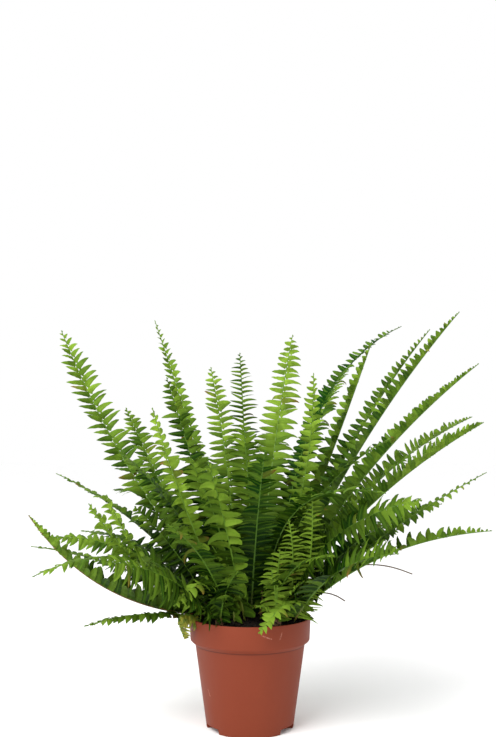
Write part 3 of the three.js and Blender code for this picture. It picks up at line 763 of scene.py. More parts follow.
# Sections of a leaflet from its root to near its tip: how far along it lies, its width and how far forward it
# sits, all against the leaflet's length or full width.
Section = namedtuple("Section", "along width forward")
LEAFLET_SECTIONS = (
    Section(0.0, 0.98, 0.0),
    Section(0.07, 1.0, 0.02),
    Section(0.18, 0.98, 0.01),
    Section(0.34, 0.9, -0.02),
    Section(0.5, 0.78, -0.02),
    Section(0.66, 0.63, 0.0),
    Section(0.8, 0.46, 0.04),
    Section(0.92, 0.24, 0.1),
)
LEAFLET_TIP = (1, 0.06, -0.02)  # along, and how far forward and up from the last section
# The rest against the leaflet's width: where the corners of a section lie to the side and how high, how far
# the ear at the root stands forward, and how far the margins wave.
SECTION_CORNERS = {"vein": (0, 0.02), "upper": (0.3, -0.01), "margin": (0.5, -0.1), "under": (0, -0.035)}
EAR = 0.16
MARGIN_WAVE = 0.035


def leaflet_blank(name, mirrored):
    """One leaflet, 1 long along +X and 1 wide along Y, forward side at +Y, drawn out from its root."""
    blank = fresh(
        bpy.ops.mesh.primitive_circle_add, name,
        vertices=6, radius=0.5, fill_type="NGON", rotation=(0, math.pi / 2, 0),
    )
    settle(blank)
    with editing(blank, "VERT") as mesh:
        for vertex in mesh.verts:
            side, height = SECTION_CORNERS[corner_of(vertex)]
            vertex.co = (0, math.copysign(side, vertex.co.y) if side else 0, height)
        bmesh.update_edit_mesh(blank.data)
        bpy.ops.mesh.select_all(action="SELECT")
        first = LEAFLET_SECTIONS[0]
        bpy.ops.transform.resize(value=(1, first.width, first.width), center_override=(0, 0, 0))
        for before, after in zip(LEAFLET_SECTIONS, LEAFLET_SECTIONS[1:]):
            draw_out((after.along - before.along, after.forward - before.forward, 0))
            ratio = after.width / before.width
            centre = (after.along, after.forward, 0)
            bpy.ops.transform.resize(value=(1, ratio, ratio), center_override=centre)
        along, forward, drop = LEAFLET_TIP
        draw_out((along - LEAFLET_SECTIONS[-1].along, forward, drop))
        bpy.ops.mesh.merge(type="CENTER")
    with editing(blank, "VERT") as mesh:
        select_where(blank, mesh, "verts", lambda v: 0.05 < v.co.x < 0.1 and v.co.y > 0.4)
        bpy.ops.transform.translate(value=(0, EAR, 0))
    with editing(blank, "VERT") as mesh:
        margins = [v for v in mesh.verts if abs(v.co.y) > 0.15 and v.co.z < -0.02]
        for vertex in margins:
            off = [abs(section.along - vertex.co.x) for section in LEAFLET_SECTIONS]
            vertex.co.z += MARGIN_WAVE * (-1) ** off.index(min(off))
        bmesh.update_edit_mesh(blank.data)
    mark_leaflet(blank)
    if mirrored:
        pick(blank)
        blank.scale.y = -1
        bpy.ops.object.transform_apply(location=False, rotation=False, scale=True)
    outward(blank)
    return blank


def corner_of(vertex):
    """Which corner of a leaflet's section a vertex of the first ring is to be."""
    if abs(vertex.co.y) < 0.01:
        return "vein" if vertex.co.z > 0 else "under"
    return "upper" if vertex.co.z > 0 else "margin"


def leaflet_uv(mesh):
    """An empty UV map for places on a leaflet, in place of any other."""
    while mesh.uv_layers:
        mesh.uv_layers.remove(mesh.uv_layers[0])
    return mesh.uv_layers.new(name="leaflet")


def mark_leaflet(blank):
    """Writes each corner's place on the leaflet, along and across it, into its UV map."""
    layer = leaflet_uv(blank.data)
    for loop in blank.data.loops:
        spot = blank.data.vertices[loop.vertex_index].co
        layer.data[loop.index].uv = (spot.x, 0.5 + 0.45 * spot.y)


def places_of(mesh):
    places = np.empty(len(mesh.vertices) * 3, np.float32)
    mesh.vertices.foreach_get("co", places)
    return places.reshape(-1, 3)


def set_places(mesh, places):
    mesh.vertices.foreach_set("co", places.astype(np.float32).ravel())
    mesh.update()


def mark(mesh, name, values):
    """Writes a number for each vertex, or one for all, that the materials read."""
    layer = mesh.attributes.get(name) or mesh.attributes.new(name, "FLOAT", "POINT")
    layer.data.foreach_set("value", np.broadcast_to(np.float32(values), len(mesh.vertices)).copy())


Pose = namedtuple("Pose", "root out forward up length width curl tilt twist sweep sag")


def posed(places, pose):
    """A leaflet's vertices at their place on the frond: curled down, turned about its length and sagging."""
    along, across, height = places.T
    bend = pose.curl * along
    reach = pose.length * (np.sin(bend) / pose.curl)
    drop = pose.length * ((1 - np.cos(bend)) / pose.curl)
    out, forward, up = (np.array(v) for v in (pose.out, pose.forward, pose.up))
    spine = np.array(pose.root) + np.outer(reach, out) - np.outer(drop, up)
    spine += np.outer(0.5 * pose.sweep * pose.length * along**2, forward)
    spine[:, 2] -= pose.sag * pose.length * along**2
    normal = np.outer(np.sin(bend), out) + np.outer(np.cos(bend), up)
    turn = (pose.tilt + pose.twist * along)[:, None]
    wide = forward * np.cos(turn) + normal * np.sin(turn)
    high = normal * np.cos(turn) - forward * np.sin(turn)
    return spine + wide * (across * pose.width)[:, None] + high * (height * pose.width)[:, None]


def leaflet_share(place, manner):
    """How long a leaflet is against the longest, from the foot (0) to the tip (1) of the blade."""
    blunt_end = 1 - math.exp((place - 1) / 0.075)
    fine_end = (1 - place**3.5) ** 0.8
    straight = min(1.0, 0.85 + place) * (blunt_end + (fine_end - blunt_end) * manner.fine)
    cone = (1 - place) ** 0.85
    return straight + (cone - straight) * manner.cone


def rib_piece(name, rib, radius, tip_radius, steps=28):
    """The rib as a tapered round stem along its curve, standing in the soil."""
    pick_none()
    bpy.ops.curve.primitive_bezier_curve_add()
    line = bpy.context.object
    line.name = name
    spline = line.data.splines[0]
    foot, tip = spline.bezier_points
    for knot, place, handle in ((foot, rib.foot, rib.handle), (tip, rib.tip, rib.handle)):
        knot.handle_left_type = knot.handle_right_type = "FREE"
        knot.co = place
        reach = (handle - place) * 2 / 3
        inner, outer = place + reach, place - reach
        knot.handle_right, knot.handle_left = (inner, outer) if knot == foot else (outer, inner)
    foot.radius, tip.radius = radius, tip_radius
    line.data.resolution_u = steps
    line.data.bevel_depth = 1
    line.data.bevel_resolution = 1
    line.data.use_fill_caps = True
    bpy.ops.object.convert(target="MESH")
    return bpy.context.object


def stem_growth(places, rib, marks=60):
    """How far up the rib each vertex lies, as a share of its length."""
    spots = np.array([tuple(rib.at(i / marks)[0]) for i in range(marks + 1)])
    nearest = np.argmin(((places[:, None, :] - spots[None]) ** 2).sum(2), axis=1)
    return nearest / marks


def sink_stem(piece, rib, depth=STEM_SUNK):
    """Draws the foot of a stem down into the soil."""
    down = -rib.at(0)[1]

    def off_foot(face):
        return (face.calc_center_median() - rib.foot).length + abs(face.normal.dot(down) - 1)

    with editing(piece) as mesh:
        min(mesh.faces, key=off_foot).select_set(True)
        bmesh.update_edit_mesh(piece.data)
        draw_out(down * depth)


def check_place(node, rib):
    """Stops when a rib doesn't lie where its node of the frame does."""
    low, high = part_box(node)
    spare = 2 * MM
    for share in (0, 0.25, 0.5, 0.75, 1):
        point = rib.at(share)[0]
        if any(point[i] < low[i] - spare or point[i] > high[i] + spare for i in range(3)):
            raise RuntimeError(f"a rib of {node} doesn't lie where the frame has it")


def frond_piece(node, growth, manner, settings, blanks, number=0, sunk=STEM_SUNK):
    """One frond: its rib, and its leaflets along both sides of it. A clump numbers its fronds."""
    rib = Rib(growth)
    check_place(node, rib)
    chance = random.Random(f"{node} {number}")
    stem = rib_piece(node + "_blade", rib, STEM_RADIUS, RIB_TIP_RADIUS)
    sink_stem(stem, rib, sunk)
    mark(stem.data, "growth", stem_growth(places_of(stem.data), rib))
    mark(stem.data, "age", manner.age)
    mark(stem.data, "dry", manner.brown)
    leaflet_uv(stem.data)
    wear(stem, blanks[1].data.materials[0], material_for("fern_rib", settings))
    stem.data.polygons.foreach_set("material_index", [1] * len(stem.data.polygons))

    spacing = settings.leaflet_spacing * manner.spacing
    pairs = round(rib.length * (1 - BARE_SHARE) / spacing)
    phase = chance.uniform(0, 2 * math.pi)
    leaflets = []
    for i in range(2 * pairs):
        hand = 1 if i % 2 == 0 else -1
        step = (i // 2 + (0.25 if hand > 0 else 0.75)) / pairs
        mesh = blanks[hand].data.copy()
        leaflet = bpy.data.objects.new(f"{node}_{i}", mesh)
        bpy.context.collection.objects.link(leaflet)
        curled = chance.random() < CURLED_SHARE
        pose = leaflet_pose(rib, step, pairs, hand, manner, settings, chance, phase, curled)
        set_places(mesh, posed(places_of(mesh), pose))
        mark(mesh, "age", leaflet_age(step, manner, chance))
        mark(mesh, "dry", chance.uniform(0.6, 1) if curled else dryness(step, chance))
        leaflets.append(leaflet)
    pick(stem, *leaflets)
    bpy.ops.object.join()
    smooth(stem, 50)
    return stem


def leaflet_age(place, manner, chance):
    """Leaflets are younger towards the tip, and no two the same."""
    return min(1, max(0, manner.age + 0.4 * place**2 - 0.15 + chance.uniform(-0.3, 0.3)))


def dryness(place, chance):
    """Most leaflets are fresh; a few have brown tips."""
    return chance.uniform(0.4, 1) if chance.random() < DRY_SHARE + 0.03 * place**4 else 0


# How the leaflets of every frond grow. The ranges are for drawing at random, and angles are in degrees.
CURLED_SHARE = 0.008  # of the leaflets, that have curled up and dried
DRY_SHARE = 0.008  # of the low leaflets, that have dry tips
FOLD_WAVE = 7  # how far the fold swings to and fro along the blade
FOLD_WAVES = 9  # how often it does, in radians from the foot to the tip
FOLD_SPREAD = 9
LEAFLET_SWEEP = 2  # how far leaflets lean forward at the foot of the blade
TIP_SWEEP = 22  # and how much further at its tip
SWEEP_SPREAD = 9
LENGTH_RANGE = (0.86, 1.09)
WIDTH_RANGE = (0.88, 1.06)
ROOM_FILLED = 0.92  # of the room between two leaflets on a side
STUBBIEST = (0.6, 1.2 * MM)  # at most this share of its length wide, and this much more
LOW_WIDTH = 1.3  # how wide the lowest leaflets are, against those at the tip
SLIMMEST = 0.22  # width against length
CURL_RANGE = (0.2, 1.7)
DRIED_CURL = (50, 130)
LEAST_CURL = 2e-3  # in radians, so that none is quite straight
TILT_RANGE = (0.3, 1.6)
TILT_HANDS = (1, 1, 1, -0.8)
TWIST = 26
BEND_RANGE = (-6, 20)  # how far a leaflet bends forward
SAG_RANGE = (0.3, 1.8)


def leaflet_pose(rib, step, pairs, hand, manner, settings, chance, phase, curled):
    """Where a leaflet sits and how it bends. The step goes from 0 at the blade's foot to 1 at its tip."""
    taper = 1.02 + 0.1 * manner.fine
    place = 1 - (1 - step) ** taper
    share = BARE_SHARE + (1 - BARE_SHARE) * place
    point, along, side, up = rib.at(share)
    growth = rib.growth
    wave = FOLD_WAVE * math.sin(phase + FOLD_WAVES * place)
    fold = math.radians(growth.fold + manner.lift + wave + chance.uniform(-FOLD_SPREAD, FOLD_SPREAD))
    lean = LEAFLET_SWEEP + TIP_SWEEP * place**2 + manner.sweep
    sweep = math.radians(lean + chance.uniform(-SWEEP_SPREAD, SWEEP_SPREAD))
    outward_side = side * hand * math.cos(fold) + up * math.sin(fold)
    out = outward_side * math.cos(sweep) + along * math.sin(sweep)
    out.normalize()
    forward = (along - out * along.dot(out)).normalized()
    face = forward.cross(out)
    face = -face if face.dot(up * math.cos(fold) - side * hand * math.sin(fold)) < 0 else face
    length = growth.leaf * MM * manner.size * leaflet_share(place, manner) * chance.uniform(*LENGTH_RANGE)
    gap = taper * (1 - step) ** (taper - 1) * rib.length * (1 - BARE_SHARE) / pairs
    share_wide, more = STUBBIEST
    width = min(settings.leaflet_width, gap * ROOM_FILLED, share_wide * length + more) * manner.width
    width = width * chance.uniform(*WIDTH_RANGE) * (LOW_WIDTH + (1 - LOW_WIDTH) * place)
    width = max(width, SLIMMEST * length * manner.width) * (0.7 if curled else 1)
    radius = STEM_RADIUS + (RIB_TIP_RADIUS - STEM_RADIUS) * share
    curl = manner.curl * chance.uniform(*CURL_RANGE) + (chance.uniform(*DRIED_CURL) if curled else 0)
    return Pose(
        root=point + side * hand * radius * 0.2 + up * radius * 0.6,
        out=out,
        forward=forward,
        up=face,
        length=length + radius * 0.8,
        width=width,
        curl=math.radians(curl) + LEAST_CURL,
        tilt=math.radians(manner.tilt * chance.uniform(*TILT_RANGE) * chance.choice(TILT_HANDS)),
        twist=math.radians(chance.uniform(-TWIST, TWIST)),
        sweep=math.radians(chance.uniform(*BEND_RANGE)),
        sag=settings.leaflet_sag * chance.uniform(*SAG_RANGE),
    )


def leaflet_blanks(material):
    """A left and a right leaflet, which every frond copies."""
    blanks = {
        1: leaflet_blank("leaflet_left", mirrored=False),
        -1: leaflet_blank("leaflet_right", mirrored=True),
    }
    for blank in blanks.values():
        wear(blank, material)
    return blanks


def grow_tuft(tuft, settings):
    """Every frond of a tuft, each standing for its node in the frame."""
    blanks = leaflet_blanks(material_for("fern_leaf", settings))
    for i, growth in enumerate(TUFTS[tuft]):
        node = f"{tuft}_{i + 1}"
        piece = frond_piece(node, growth, HABITS.get(node, TUFT_HABITS[tuft]), settings, blanks)
        finish_piece(piece, "leaf_green", node)
    discard(*blanks.values())


def crown_piece(name, growth, settings):
    """The short scaly crown that the fronds of a clump grow from, standing in the soil."""
    foot = growth.foot * MM
    profile = (
        (0.8 * CROWN_RADIUS, -STEM_SUNK),
        (0.92 * CROWN_RADIUS, -2 * MM),
        (0.88 * CROWN_RADIUS, 0.3 * CROWN_HEIGHT),
        (0.6 * CROWN_RADIUS, 0.75 * CROWN_HEIGHT),
        (0.25 * CROWN_RADIUS, 0.95 * CROWN_HEIGHT),
    )
    crown = drawn_cup(name, profile, 14)
    with editing(crown):
        bpy.ops.mesh.select_all(action="SELECT")
        bpy.ops.transform.vertex_random(offset=0.3 * MM, seed=3)
    crown.location = polar(foot, growth.foot_turn, soil_height(foot))
    settle(crown)
    wear(crown, material_for("dry_stem", settings))
    return crown


def grow_clumps(settings):
    """The fronds of each clump, joined to the crown that they grow from."""
    blanks = leaflet_blanks(material_for("fern_leaf", settings))
    for node, fronds in CLUMPS.items():
        pieces = [
            frond_piece(node, growth, TUFT_HABITS[node], settings, blanks, i + 1, CROWN_ROOT)
            for i, growth in enumerate(fronds)
        ]
        pick(*pieces, crown_piece(node + "_crown", fronds[0], settings))
        bpy.ops.object.join()
        finish_piece(pieces[0], "leaf_green", node)
    discard(*blanks.values())


# ------------------------------------------------------------------------------------------- pot

POT_SIDES = 120
FOOT_ROUNDING = 0.9 * MM
BAND_ROUNDING = 0.8 * MM
RIM_ROUNDING = 0.55 * MM
ON_RING = 0.01 * MM  # a corner this near to a ring of the profile lies on it


def drawn_cup(name, profile, sides):
    """A round closed body, drawn out from its first ring along a profile of (radius, height)."""
    (radius, height), *rest = profile
    cup = fresh(
        bpy.ops.mesh.primitive_circle_add, name,
        vertices=sides, radius=radius, fill_type="NGON", location=(0, 0, height),
    )
    settle(cup)
    with editing(cup):
        bpy.ops.mesh.select_all(action="SELECT")
        for wide, high in rest:
            draw_out((0, 0, high - height))
            ratio = wide / radius
            bpy.ops.transform.resize(value=(ratio, ratio, 1), center_override=(0, 0, high))
            radius, height = wide, high
    outward(cup)
    return cup


def round_rings(piece, rings, width):
    """Bevels the rings of edges at the given (radius, height)."""

    def lies_on(place, radius, height):
        off = math.hypot(place.x, place.y) - radius
        return abs(place.z - height) < ON_RING and abs(off) < ON_RING

    def in_ring(edge):
        return any(all(lies_on(corner.co, *ring) for corner in edge.verts) for ring in rings)

    with editing(piece, "EDGE") as mesh:
        select_where(piece, mesh, "edges", in_ring)
        bpy.ops.mesh.bevel(offset=width, segments=3, affect="EDGES")


def ring_block(name, inner, outer, turn, span, bottom, top):
    """A block in the shape of part of a ring, swept round the axis from a flat piece."""
    block = fresh(bpy.ops.mesh.primitive_plane_add, name, size=1, rotation=(math.pi / 2, 0, 0))
    block.scale = (outer - inner, top - bottom, 1)
    block.location = ((outer + inner) / 2, 0, (bottom + top) / 2)
    settle(block)
    pick(block)
    block.rotation_euler.z = math.radians(turn + span / 2)  # a spin about +Z goes clockwise
    settle(block)
    with editing(block):
        bpy.ops.mesh.select_all(action="SELECT")
        bpy.ops.mesh.spin(steps=12, angle=math.radians(span), center=(0, 0, 0), axis=(0, 0, 1))
        bpy.ops.mesh.select_all(action="SELECT")
        bpy.ops.mesh.remove_doubles(threshold=1e-6)
    outward(block)
    check_closed(block)
    return block


def check_closed(piece):
    """Stops when a piece has an open edge."""
    with editing(piece) as mesh:
        loose = sum(not edge.is_manifold for edge in mesh.edges)
    if loose:
        raise RuntimeError(f"{piece.name} isn't closed: {loose} open edges")


def model_pot(settings):
    """The pot: a cup with a wall, and drain pockets with a slot in the edge of its foot."""
    profile = (
        (FOOT_RADIUS, 0),
        (SHOULDER_RADIUS, SHOULDER_HEIGHT),
        (BAND_FOOT_RADIUS, BAND_FOOT_HEIGHT),
        (RIM_RADIUS, POT_HEIGHT),
        (RIM_RADIUS - POT_WALL, POT_HEIGHT),
        (BAND_FOOT_RADIUS - POT_WALL, BAND_FOOT_HEIGHT + POT_WALL),
        (SHOULDER_RADIUS - POT_WALL, SHOULDER_HEIGHT + POT_WALL),
        (FOOT_RADIUS - POT_WALL, POT_WALL),
    )
    pot = drawn_cup("nursery_pot", profile, POT_SIDES)
    round_rings(pot, profile[:1], FOOT_ROUNDING)
    round_rings(pot, profile[1:3], BAND_ROUNDING)
    round_rings(pot, profile[3:5], RIM_ROUNDING)
    lining_turn = math.degrees(POT_WALL / POCKET_INNER_RADIUS)
    middle = (POCKET_INNER_RADIUS + FOOT_RADIUS) / 2
    for turn in POCKET_TURNS:
        lining = ring_block(
            "lining", POCKET_INNER_RADIUS - POT_WALL, FOOT_RADIUS - POT_WALL / 2, turn,
            POCKET_SPAN + 2 * lining_turn, POT_WALL / 2, POCKET_HEIGHT + POT_WALL,
        )
        carve(pot, lining, "UNION")
        reach = FOOT_RADIUS + 10 * MM
        room = ring_block("room", POCKET_INNER_RADIUS, reach, turn, POCKET_SPAN, -MM, POCKET_HEIGHT)
        carve(pot, room, "DIFFERENCE")
        slot = fresh(bpy.ops.mesh.primitive_cube_add, "slot", size=1)
        slot.scale = (SLOT_WIDTH, SLOT_LENGTH, 4 * POT_WALL)
        slot.rotation_euler.z = math.radians(turn)
        slot.location = polar(middle, turn, POCKET_HEIGHT + POT_WALL / 2)
        settle(slot)
        carve(pot, slot, "DIFFERENCE")
    check_closed(pot)
    wear(pot, material_for("nursery_plastic", settings))
    smooth(pot, 35)
    finish_piece(pot, "pot_plastic", "pot")


# ------------------------------------------------------------------------------------------- peat

CRUMBS = 860
CRUMB_SIZES = (0.7, 3.4, 1.3)  # smallest, largest and most frequent, in millimetres
RIDGE_SHARE = 0.86  # of the soil's radius: beyond it the crumbs are piled against the rim
RIDGE_HEIGHT = 3 * MM
HEAP = 110  # crumbs heaped against the rim at the right
HEAP_PLACE = (50 * MM, 345)
HEAP_SPREAD = (4 * MM, 9)
HEAP_HEIGHT = 8 * MM
FIBRES = 90
LUMP_SIZE = 9 * MM
LUMP_HEIGHT = 6 * MM


def peat_body():
    """The soil in the pot, with an uneven top."""
    inside = POT_WALL + 0.4 * MM
    rings = [SOIL_RADIUS * (1 - i / 30) for i in range(1, 30)]
    profile = (
        (FOOT_RADIUS - inside, POCKET_HEIGHT + 2.5 * MM),
        (SHOULDER_RADIUS - inside, SHOULDER_HEIGHT + POT_WALL),
        (BAND_FOOT_RADIUS - inside, BAND_FOOT_HEIGHT + POT_WALL),
        (SOIL_RADIUS, SOIL_EDGE),
        *((radius, soil_height(radius) - 1.2 * MM) for radius in rings),
    )
    peat = drawn_cup("peat_body", profile, 90)
    lumps = bpy.data.textures.new("lumps", "CLOUDS")
    lumps.noise_scale = LUMP_SIZE
    lumps.noise_depth = 4
    with editing(peat, "VERT") as mesh:
        select_where(peat, mesh, "verts", lambda v: v.co.z > SOIL_EDGE - MM)
        bpy.ops.object.vertex_group_add()
        bpy.ops.object.vertex_group_assign()
    pick(peat)
    uneven = peat.modifiers.new("uneven", "DISPLACE")
    uneven.texture = lumps
    uneven.strength = LUMP_HEIGHT
    uneven.mid_level = 0.55
    uneven.direction = "Z"
    uneven.vertex_group = peat.vertex_groups[0].name
    bpy.ops.object.modifier_apply(modifier=uneven.name)
    bpy.data.textures.remove(lumps)
    return peat


def crumb_place(chance, heaped):
    """A place for a crumb of peat, in the heap or anywhere on the soil."""
    if heaped:
        out, round_axis = chance.gauss(0, 1), chance.gauss(0, 1)
        distance, turn = HEAP_PLACE
        place = polar(distance + HEAP_SPREAD[0] * out, turn + HEAP_SPREAD[1] * round_axis, 0)
        top = HEAP_HEIGHT * math.exp(-(out**2 + round_axis**2) / 2)
        place.z = SOIL_EDGE + chance.uniform(0, 1) * top
        return place
    distance = (SOIL_RADIUS + 0.6 * MM) * math.sqrt(chance.uniform(0.02, 1))
    place = polar(distance, chance.uniform(0, 360), 0)
    ridge = RIDGE_HEIGHT if distance > RIDGE_SHARE * SOIL_RADIUS else MM
    place.z = soil_height(distance) + chance.uniform(-1.2 * MM, ridge)
    return place


def model_peat(settings):
    """The soil, with crumbs and fibres on it and a heap at the right edge."""
    moist, bits = (material_for(name, settings) for name in ("moist_peat", "peat_bits"))
    peat = peat_body()
    chance = random.Random("peat")
    parts = [peat]
    blanks = [crumb_blank(moist, chance) for _ in range(5)]
    for i in range(CRUMBS + HEAP):
        place = crumb_place(chance, heaped=i >= CRUMBS)
        if math.hypot(place.x, place.y) > RIM_RADIUS - 0.2 * MM:
            continue
        size = chance.triangular(*CRUMB_SIZES) * MM
        parts.append(placed_copy(chance.choice(blanks), place, size, chance))
    discard(*blanks)
    fibre = fibre_blank(bits)
    for _ in range(FIBRES):
        distance = SOIL_RADIUS * math.sqrt(chance.uniform(0.1, 0.98))
        turn = chance.choice((chance.uniform(0, 360), chance.gauss(345, 14)))
        place = polar(distance, turn, soil_height(distance) + chance.uniform(0.2, 2) * MM)
        parts.append(placed_copy(fibre, place, chance.uniform(3, 8) * MM, chance, flat=True))
    discard(fibre)
    pick(*parts)
    bpy.ops.object.join()
    wear(peat, moist, bits)
    smooth(peat, 55)
    finish_piece(peat, "peat", "soil")


def crumb_blank(material, chance):
    """A lump of peat, about 1 across."""
    crumb = fresh(bpy.ops.mesh.primitive_ico_sphere_add, "crumb", subdivisions=2, radius=0.5)
    with editing(crumb) as mesh:
        bpy.ops.mesh.select_all(action="SELECT")
        bpy.ops.transform.vertex_random(offset=0.16, seed=chance.randrange(1000))
        bpy.ops.transform.resize(value=(1, 0.8, 0.65))
    wear(crumb, material)
    return crumb


def fibre_blank(material):
    """A thin crooked bit of fibre, 1 long."""
    fibre = fresh(bpy.ops.mesh.primitive_circle_add, "fibre", vertices=4, radius=0.05, fill_type="NGON")
    with editing(fibre):
        bpy.ops.mesh.select_all(action="SELECT")
        for step in ((0.06, 0.03, 0.25), (-0.05, 0.05, 0.25), (-0.07, -0.04, 0.25), (0.03, -0.05, 0.25)):
            draw_out(step)
            bpy.ops.transform.resize(value=(0.85, 0.85, 1), center_override=(0, 0, 0))
    outward(fibre)
    wear(fibre, material)
    return fibre


def placed_copy(blank, place, size, chance, flat=False):
    """A copy of a blank with its own mesh, turned at random; a flat one lies down."""
    copy = blank.copy()
    copy.data = blank.data.copy()
    bpy.context.collection.objects.link(copy)
    tilt = math.radians(chance.gauss(90, 14) if flat else chance.uniform(0, 360))
    copy.rotation_euler = (tilt, math.radians(chance.uniform(-20, 20)), chance.uniform(0, 2 * math.pi))
    copy.scale = (size, size, size)
    copy.location = place
    return copy


# ------------------------------------------------------------------------------------------- small pieces


def model_withered(settings):
    """The small dying frond that hangs over the rim."""
    blanks = leaflet_blanks(material_for("withered_leaf", settings))
    manner = habit(age=1, width=1.1, tilt=30, curl=60, spacing=0.42, cone=0.3, size=1.35)
    piece = frond_piece("withered_frond_1", WITHERED, manner, settings, blanks)
    finish_piece(piece, "leaf_withered", "withered_frond_1")
    discard(*blanks.values())


def strand(node, name, growth, thick, thin, steps, strength, scale, seed, settings):
    """A bare brown strand along a rib, a little crooked."""
    rib = Rib(growth)
    wire = rib_piece(name, rib, thick, thin, steps=steps)
    sink_stem(wire, rib)
    crook(wire, strength, scale, seed)
    wear(wire, material_for("dry_stem", settings))
    smooth(wire, 60)
    finish_piece(wire, "stem_brown", node)


def model_runners(settings):
    """Thin wiry runners."""
    for i, growth in enumerate(RUNNERS):
        node = f"runner_{i + 1}"
        strand(node, node + "_wire", growth, 0.8 * MM, 0.6 * MM, 60, 0.35 * MM, 12 * MM, 70 + i, settings)


def crook(piece, strength, scale, seed):
    """Makes a strand uneven, by clouds that push it along each axis in turn."""
    bends = bpy.data.textures.new("bends", "CLOUDS")
    bends.noise_scale = scale
    pick(piece)
    for axis, shift in (("X", 0), ("Y", seed), ("Z", 2 * seed)):
        anchor = bpy.data.objects.new("anchor", None)
        anchor.location = (shift, 0, 0)
        uneven = piece.modifiers.new("uneven", "DISPLACE")
        uneven.texture = bends
        uneven.texture_coords = "OBJECT"
        uneven.texture_coords_object = anchor
        bpy.context.collection.objects.link(anchor)
        bpy.context.view_layer.update()
        uneven.strength = 2 * strength
        uneven.direction = axis
        bpy.ops.object.modifier_apply(modifier=uneven.name)
        bpy.data.objects.remove(anchor)
    bpy.data.textures.remove(bends)


def model_stalk(settings):
    """The stub of a dead frond, thicker than the rest."""
    strand(
        "old_stalk_1", "stalk_stub", OLD_STALK, 1.9 * MM, 1.3 * MM, 24, 0.5 * MM, 8 * MM, 31, settings
    )


# ------------------------------------------------------------------------------------------- add-on


class FernSettings(bpy.types.PropertyGroup):
    """Sizes and colours of the fronds."""

    leaflet_spacing: bpy.props.FloatProperty(
        name="Leaflet Spacing", description="Between leaflets on one side",
        default=7.7 * MM, subtype="DISTANCE",
    )
    leaflet_width: bpy.props.FloatProperty(
        name="Leaflet Width", description="Widest a leaflet gets", default=8.2 * MM, subtype="DISTANCE"
    )
    leaflet_sag: bpy.props.FloatProperty(
        name="Leaflet Sag", description="Share of its length that a leaflet's tip hangs down",
        default=0.12,
    )
    old_leaf: bpy.props.FloatVectorProperty(
        name="Old Leaf", description="Green of old leaflets", size=4, subtype="COLOR",
        default=linear((15, 71, 3)),
    )
    young_leaf: bpy.props.FloatVectorProperty(
        name="Young Leaf", description="Green of young leaflets", size=4, subtype="COLOR",
        default=linear((140, 174, 54)),
    )
    # Used both for real darker patches in the leaves and for the painted shade in the middle of the tuft.
    patch_and_painted_shade_leaf: bpy.props.FloatVectorProperty(
        name="Leaf Patches", description="Darker patches", size=4, subtype="COLOR",
        default=linear((3, 26, 1)),
    )
    vein: bpy.props.FloatVectorProperty(
        name="Veins", description="Colour of the veins", size=4, subtype="COLOR",
        default=linear((92, 130, 26)),
    )
    backlit_leaf: bpy.props.FloatVectorProperty(
        name="Backlit Leaf", description="Added where light shines through", size=4, subtype="COLOR",
        default=linear((58, 108, 4)),
    )
    dry_leaf: bpy.props.FloatVectorProperty(
        name="Dry Leaf", description="Dry leaf tips", size=4, subtype="COLOR",
        default=linear((150, 112, 52)),
    )
    dead_leaf: bpy.props.FloatVectorProperty(
        name="Dead Leaf", description="Dead leaf and stalk", size=4, subtype="COLOR",
        default=linear((84, 54, 30)),
    )
    withered_leaf: bpy.props.FloatVectorProperty(
        name="Withered Leaf", description="Dying leaf", size=4, subtype="COLOR",
        default=linear((158, 156, 44)),
    )
    withered_green: bpy.props.FloatVectorProperty(
        name="Withered Green", description="Green left in it", size=4, subtype="COLOR",
        default=linear((104, 124, 34)),
    )
    rib: bpy.props.FloatVectorProperty(
        name="Rib", description="Ribs of the fronds", size=4, subtype="COLOR",
        default=linear((62, 96, 18)),
    )
    dry_rib: bpy.props.FloatVectorProperty(
        name="Dry Rib", description="Ribs that have gone brown", size=4, subtype="COLOR",
        default=linear((120, 62, 34)),
    )
    stem_foot: bpy.props.FloatVectorProperty(
        name="Stem Foot", description="Stems at the soil", size=4, subtype="COLOR",
        default=linear((84, 66, 32)),
    )


class PotSettings(bpy.types.PropertyGroup):
    """Colours of the pot and its soil."""

    plastic: bpy.props.FloatVectorProperty(
        name="Plastic", description="Colour of the pot", size=4, subtype="COLOR",
        default=linear((116, 47, 24)),
    )
    plastic_pale: bpy.props.FloatVectorProperty(
        name="Pale Plastic", description="Faded patches", size=4, subtype="COLOR",
        default=linear((124, 54, 31)),
    )
    plastic_dark: bpy.props.FloatVectorProperty(
        name="Plastic Grain", description="Darker specks", size=4, subtype="COLOR",
        default=linear((99, 39, 22)),
    )
    # The colour of the painted shadow line under the band.
    painted_band_shadow: bpy.props.FloatVectorProperty(
        name="Crease", description="Under the band", size=4, subtype="COLOR",
        default=linear((60, 22, 14)),
    )
    scratch: bpy.props.FloatVectorProperty(
        name="Scratches", description="Fine scratches", size=4, subtype="COLOR",
        default=linear((208, 150, 130)),
    )
    peat: bpy.props.FloatVectorProperty(
        name="Peat", description="Crumbs of the soil", size=4, subtype="COLOR",
        default=linear((48, 32, 22)),
    )
    peat_dark: bpy.props.FloatVectorProperty(
        name="Moist Peat", description="Soil between the crumbs", size=4, subtype="COLOR",
        default=linear((14, 10, 7)),
    )
    peat_fibre: bpy.props.FloatVectorProperty(
        name="Fibres", description="Light bits in the soil", size=4, subtype="COLOR",
        default=linear((112, 84, 56)),
    )


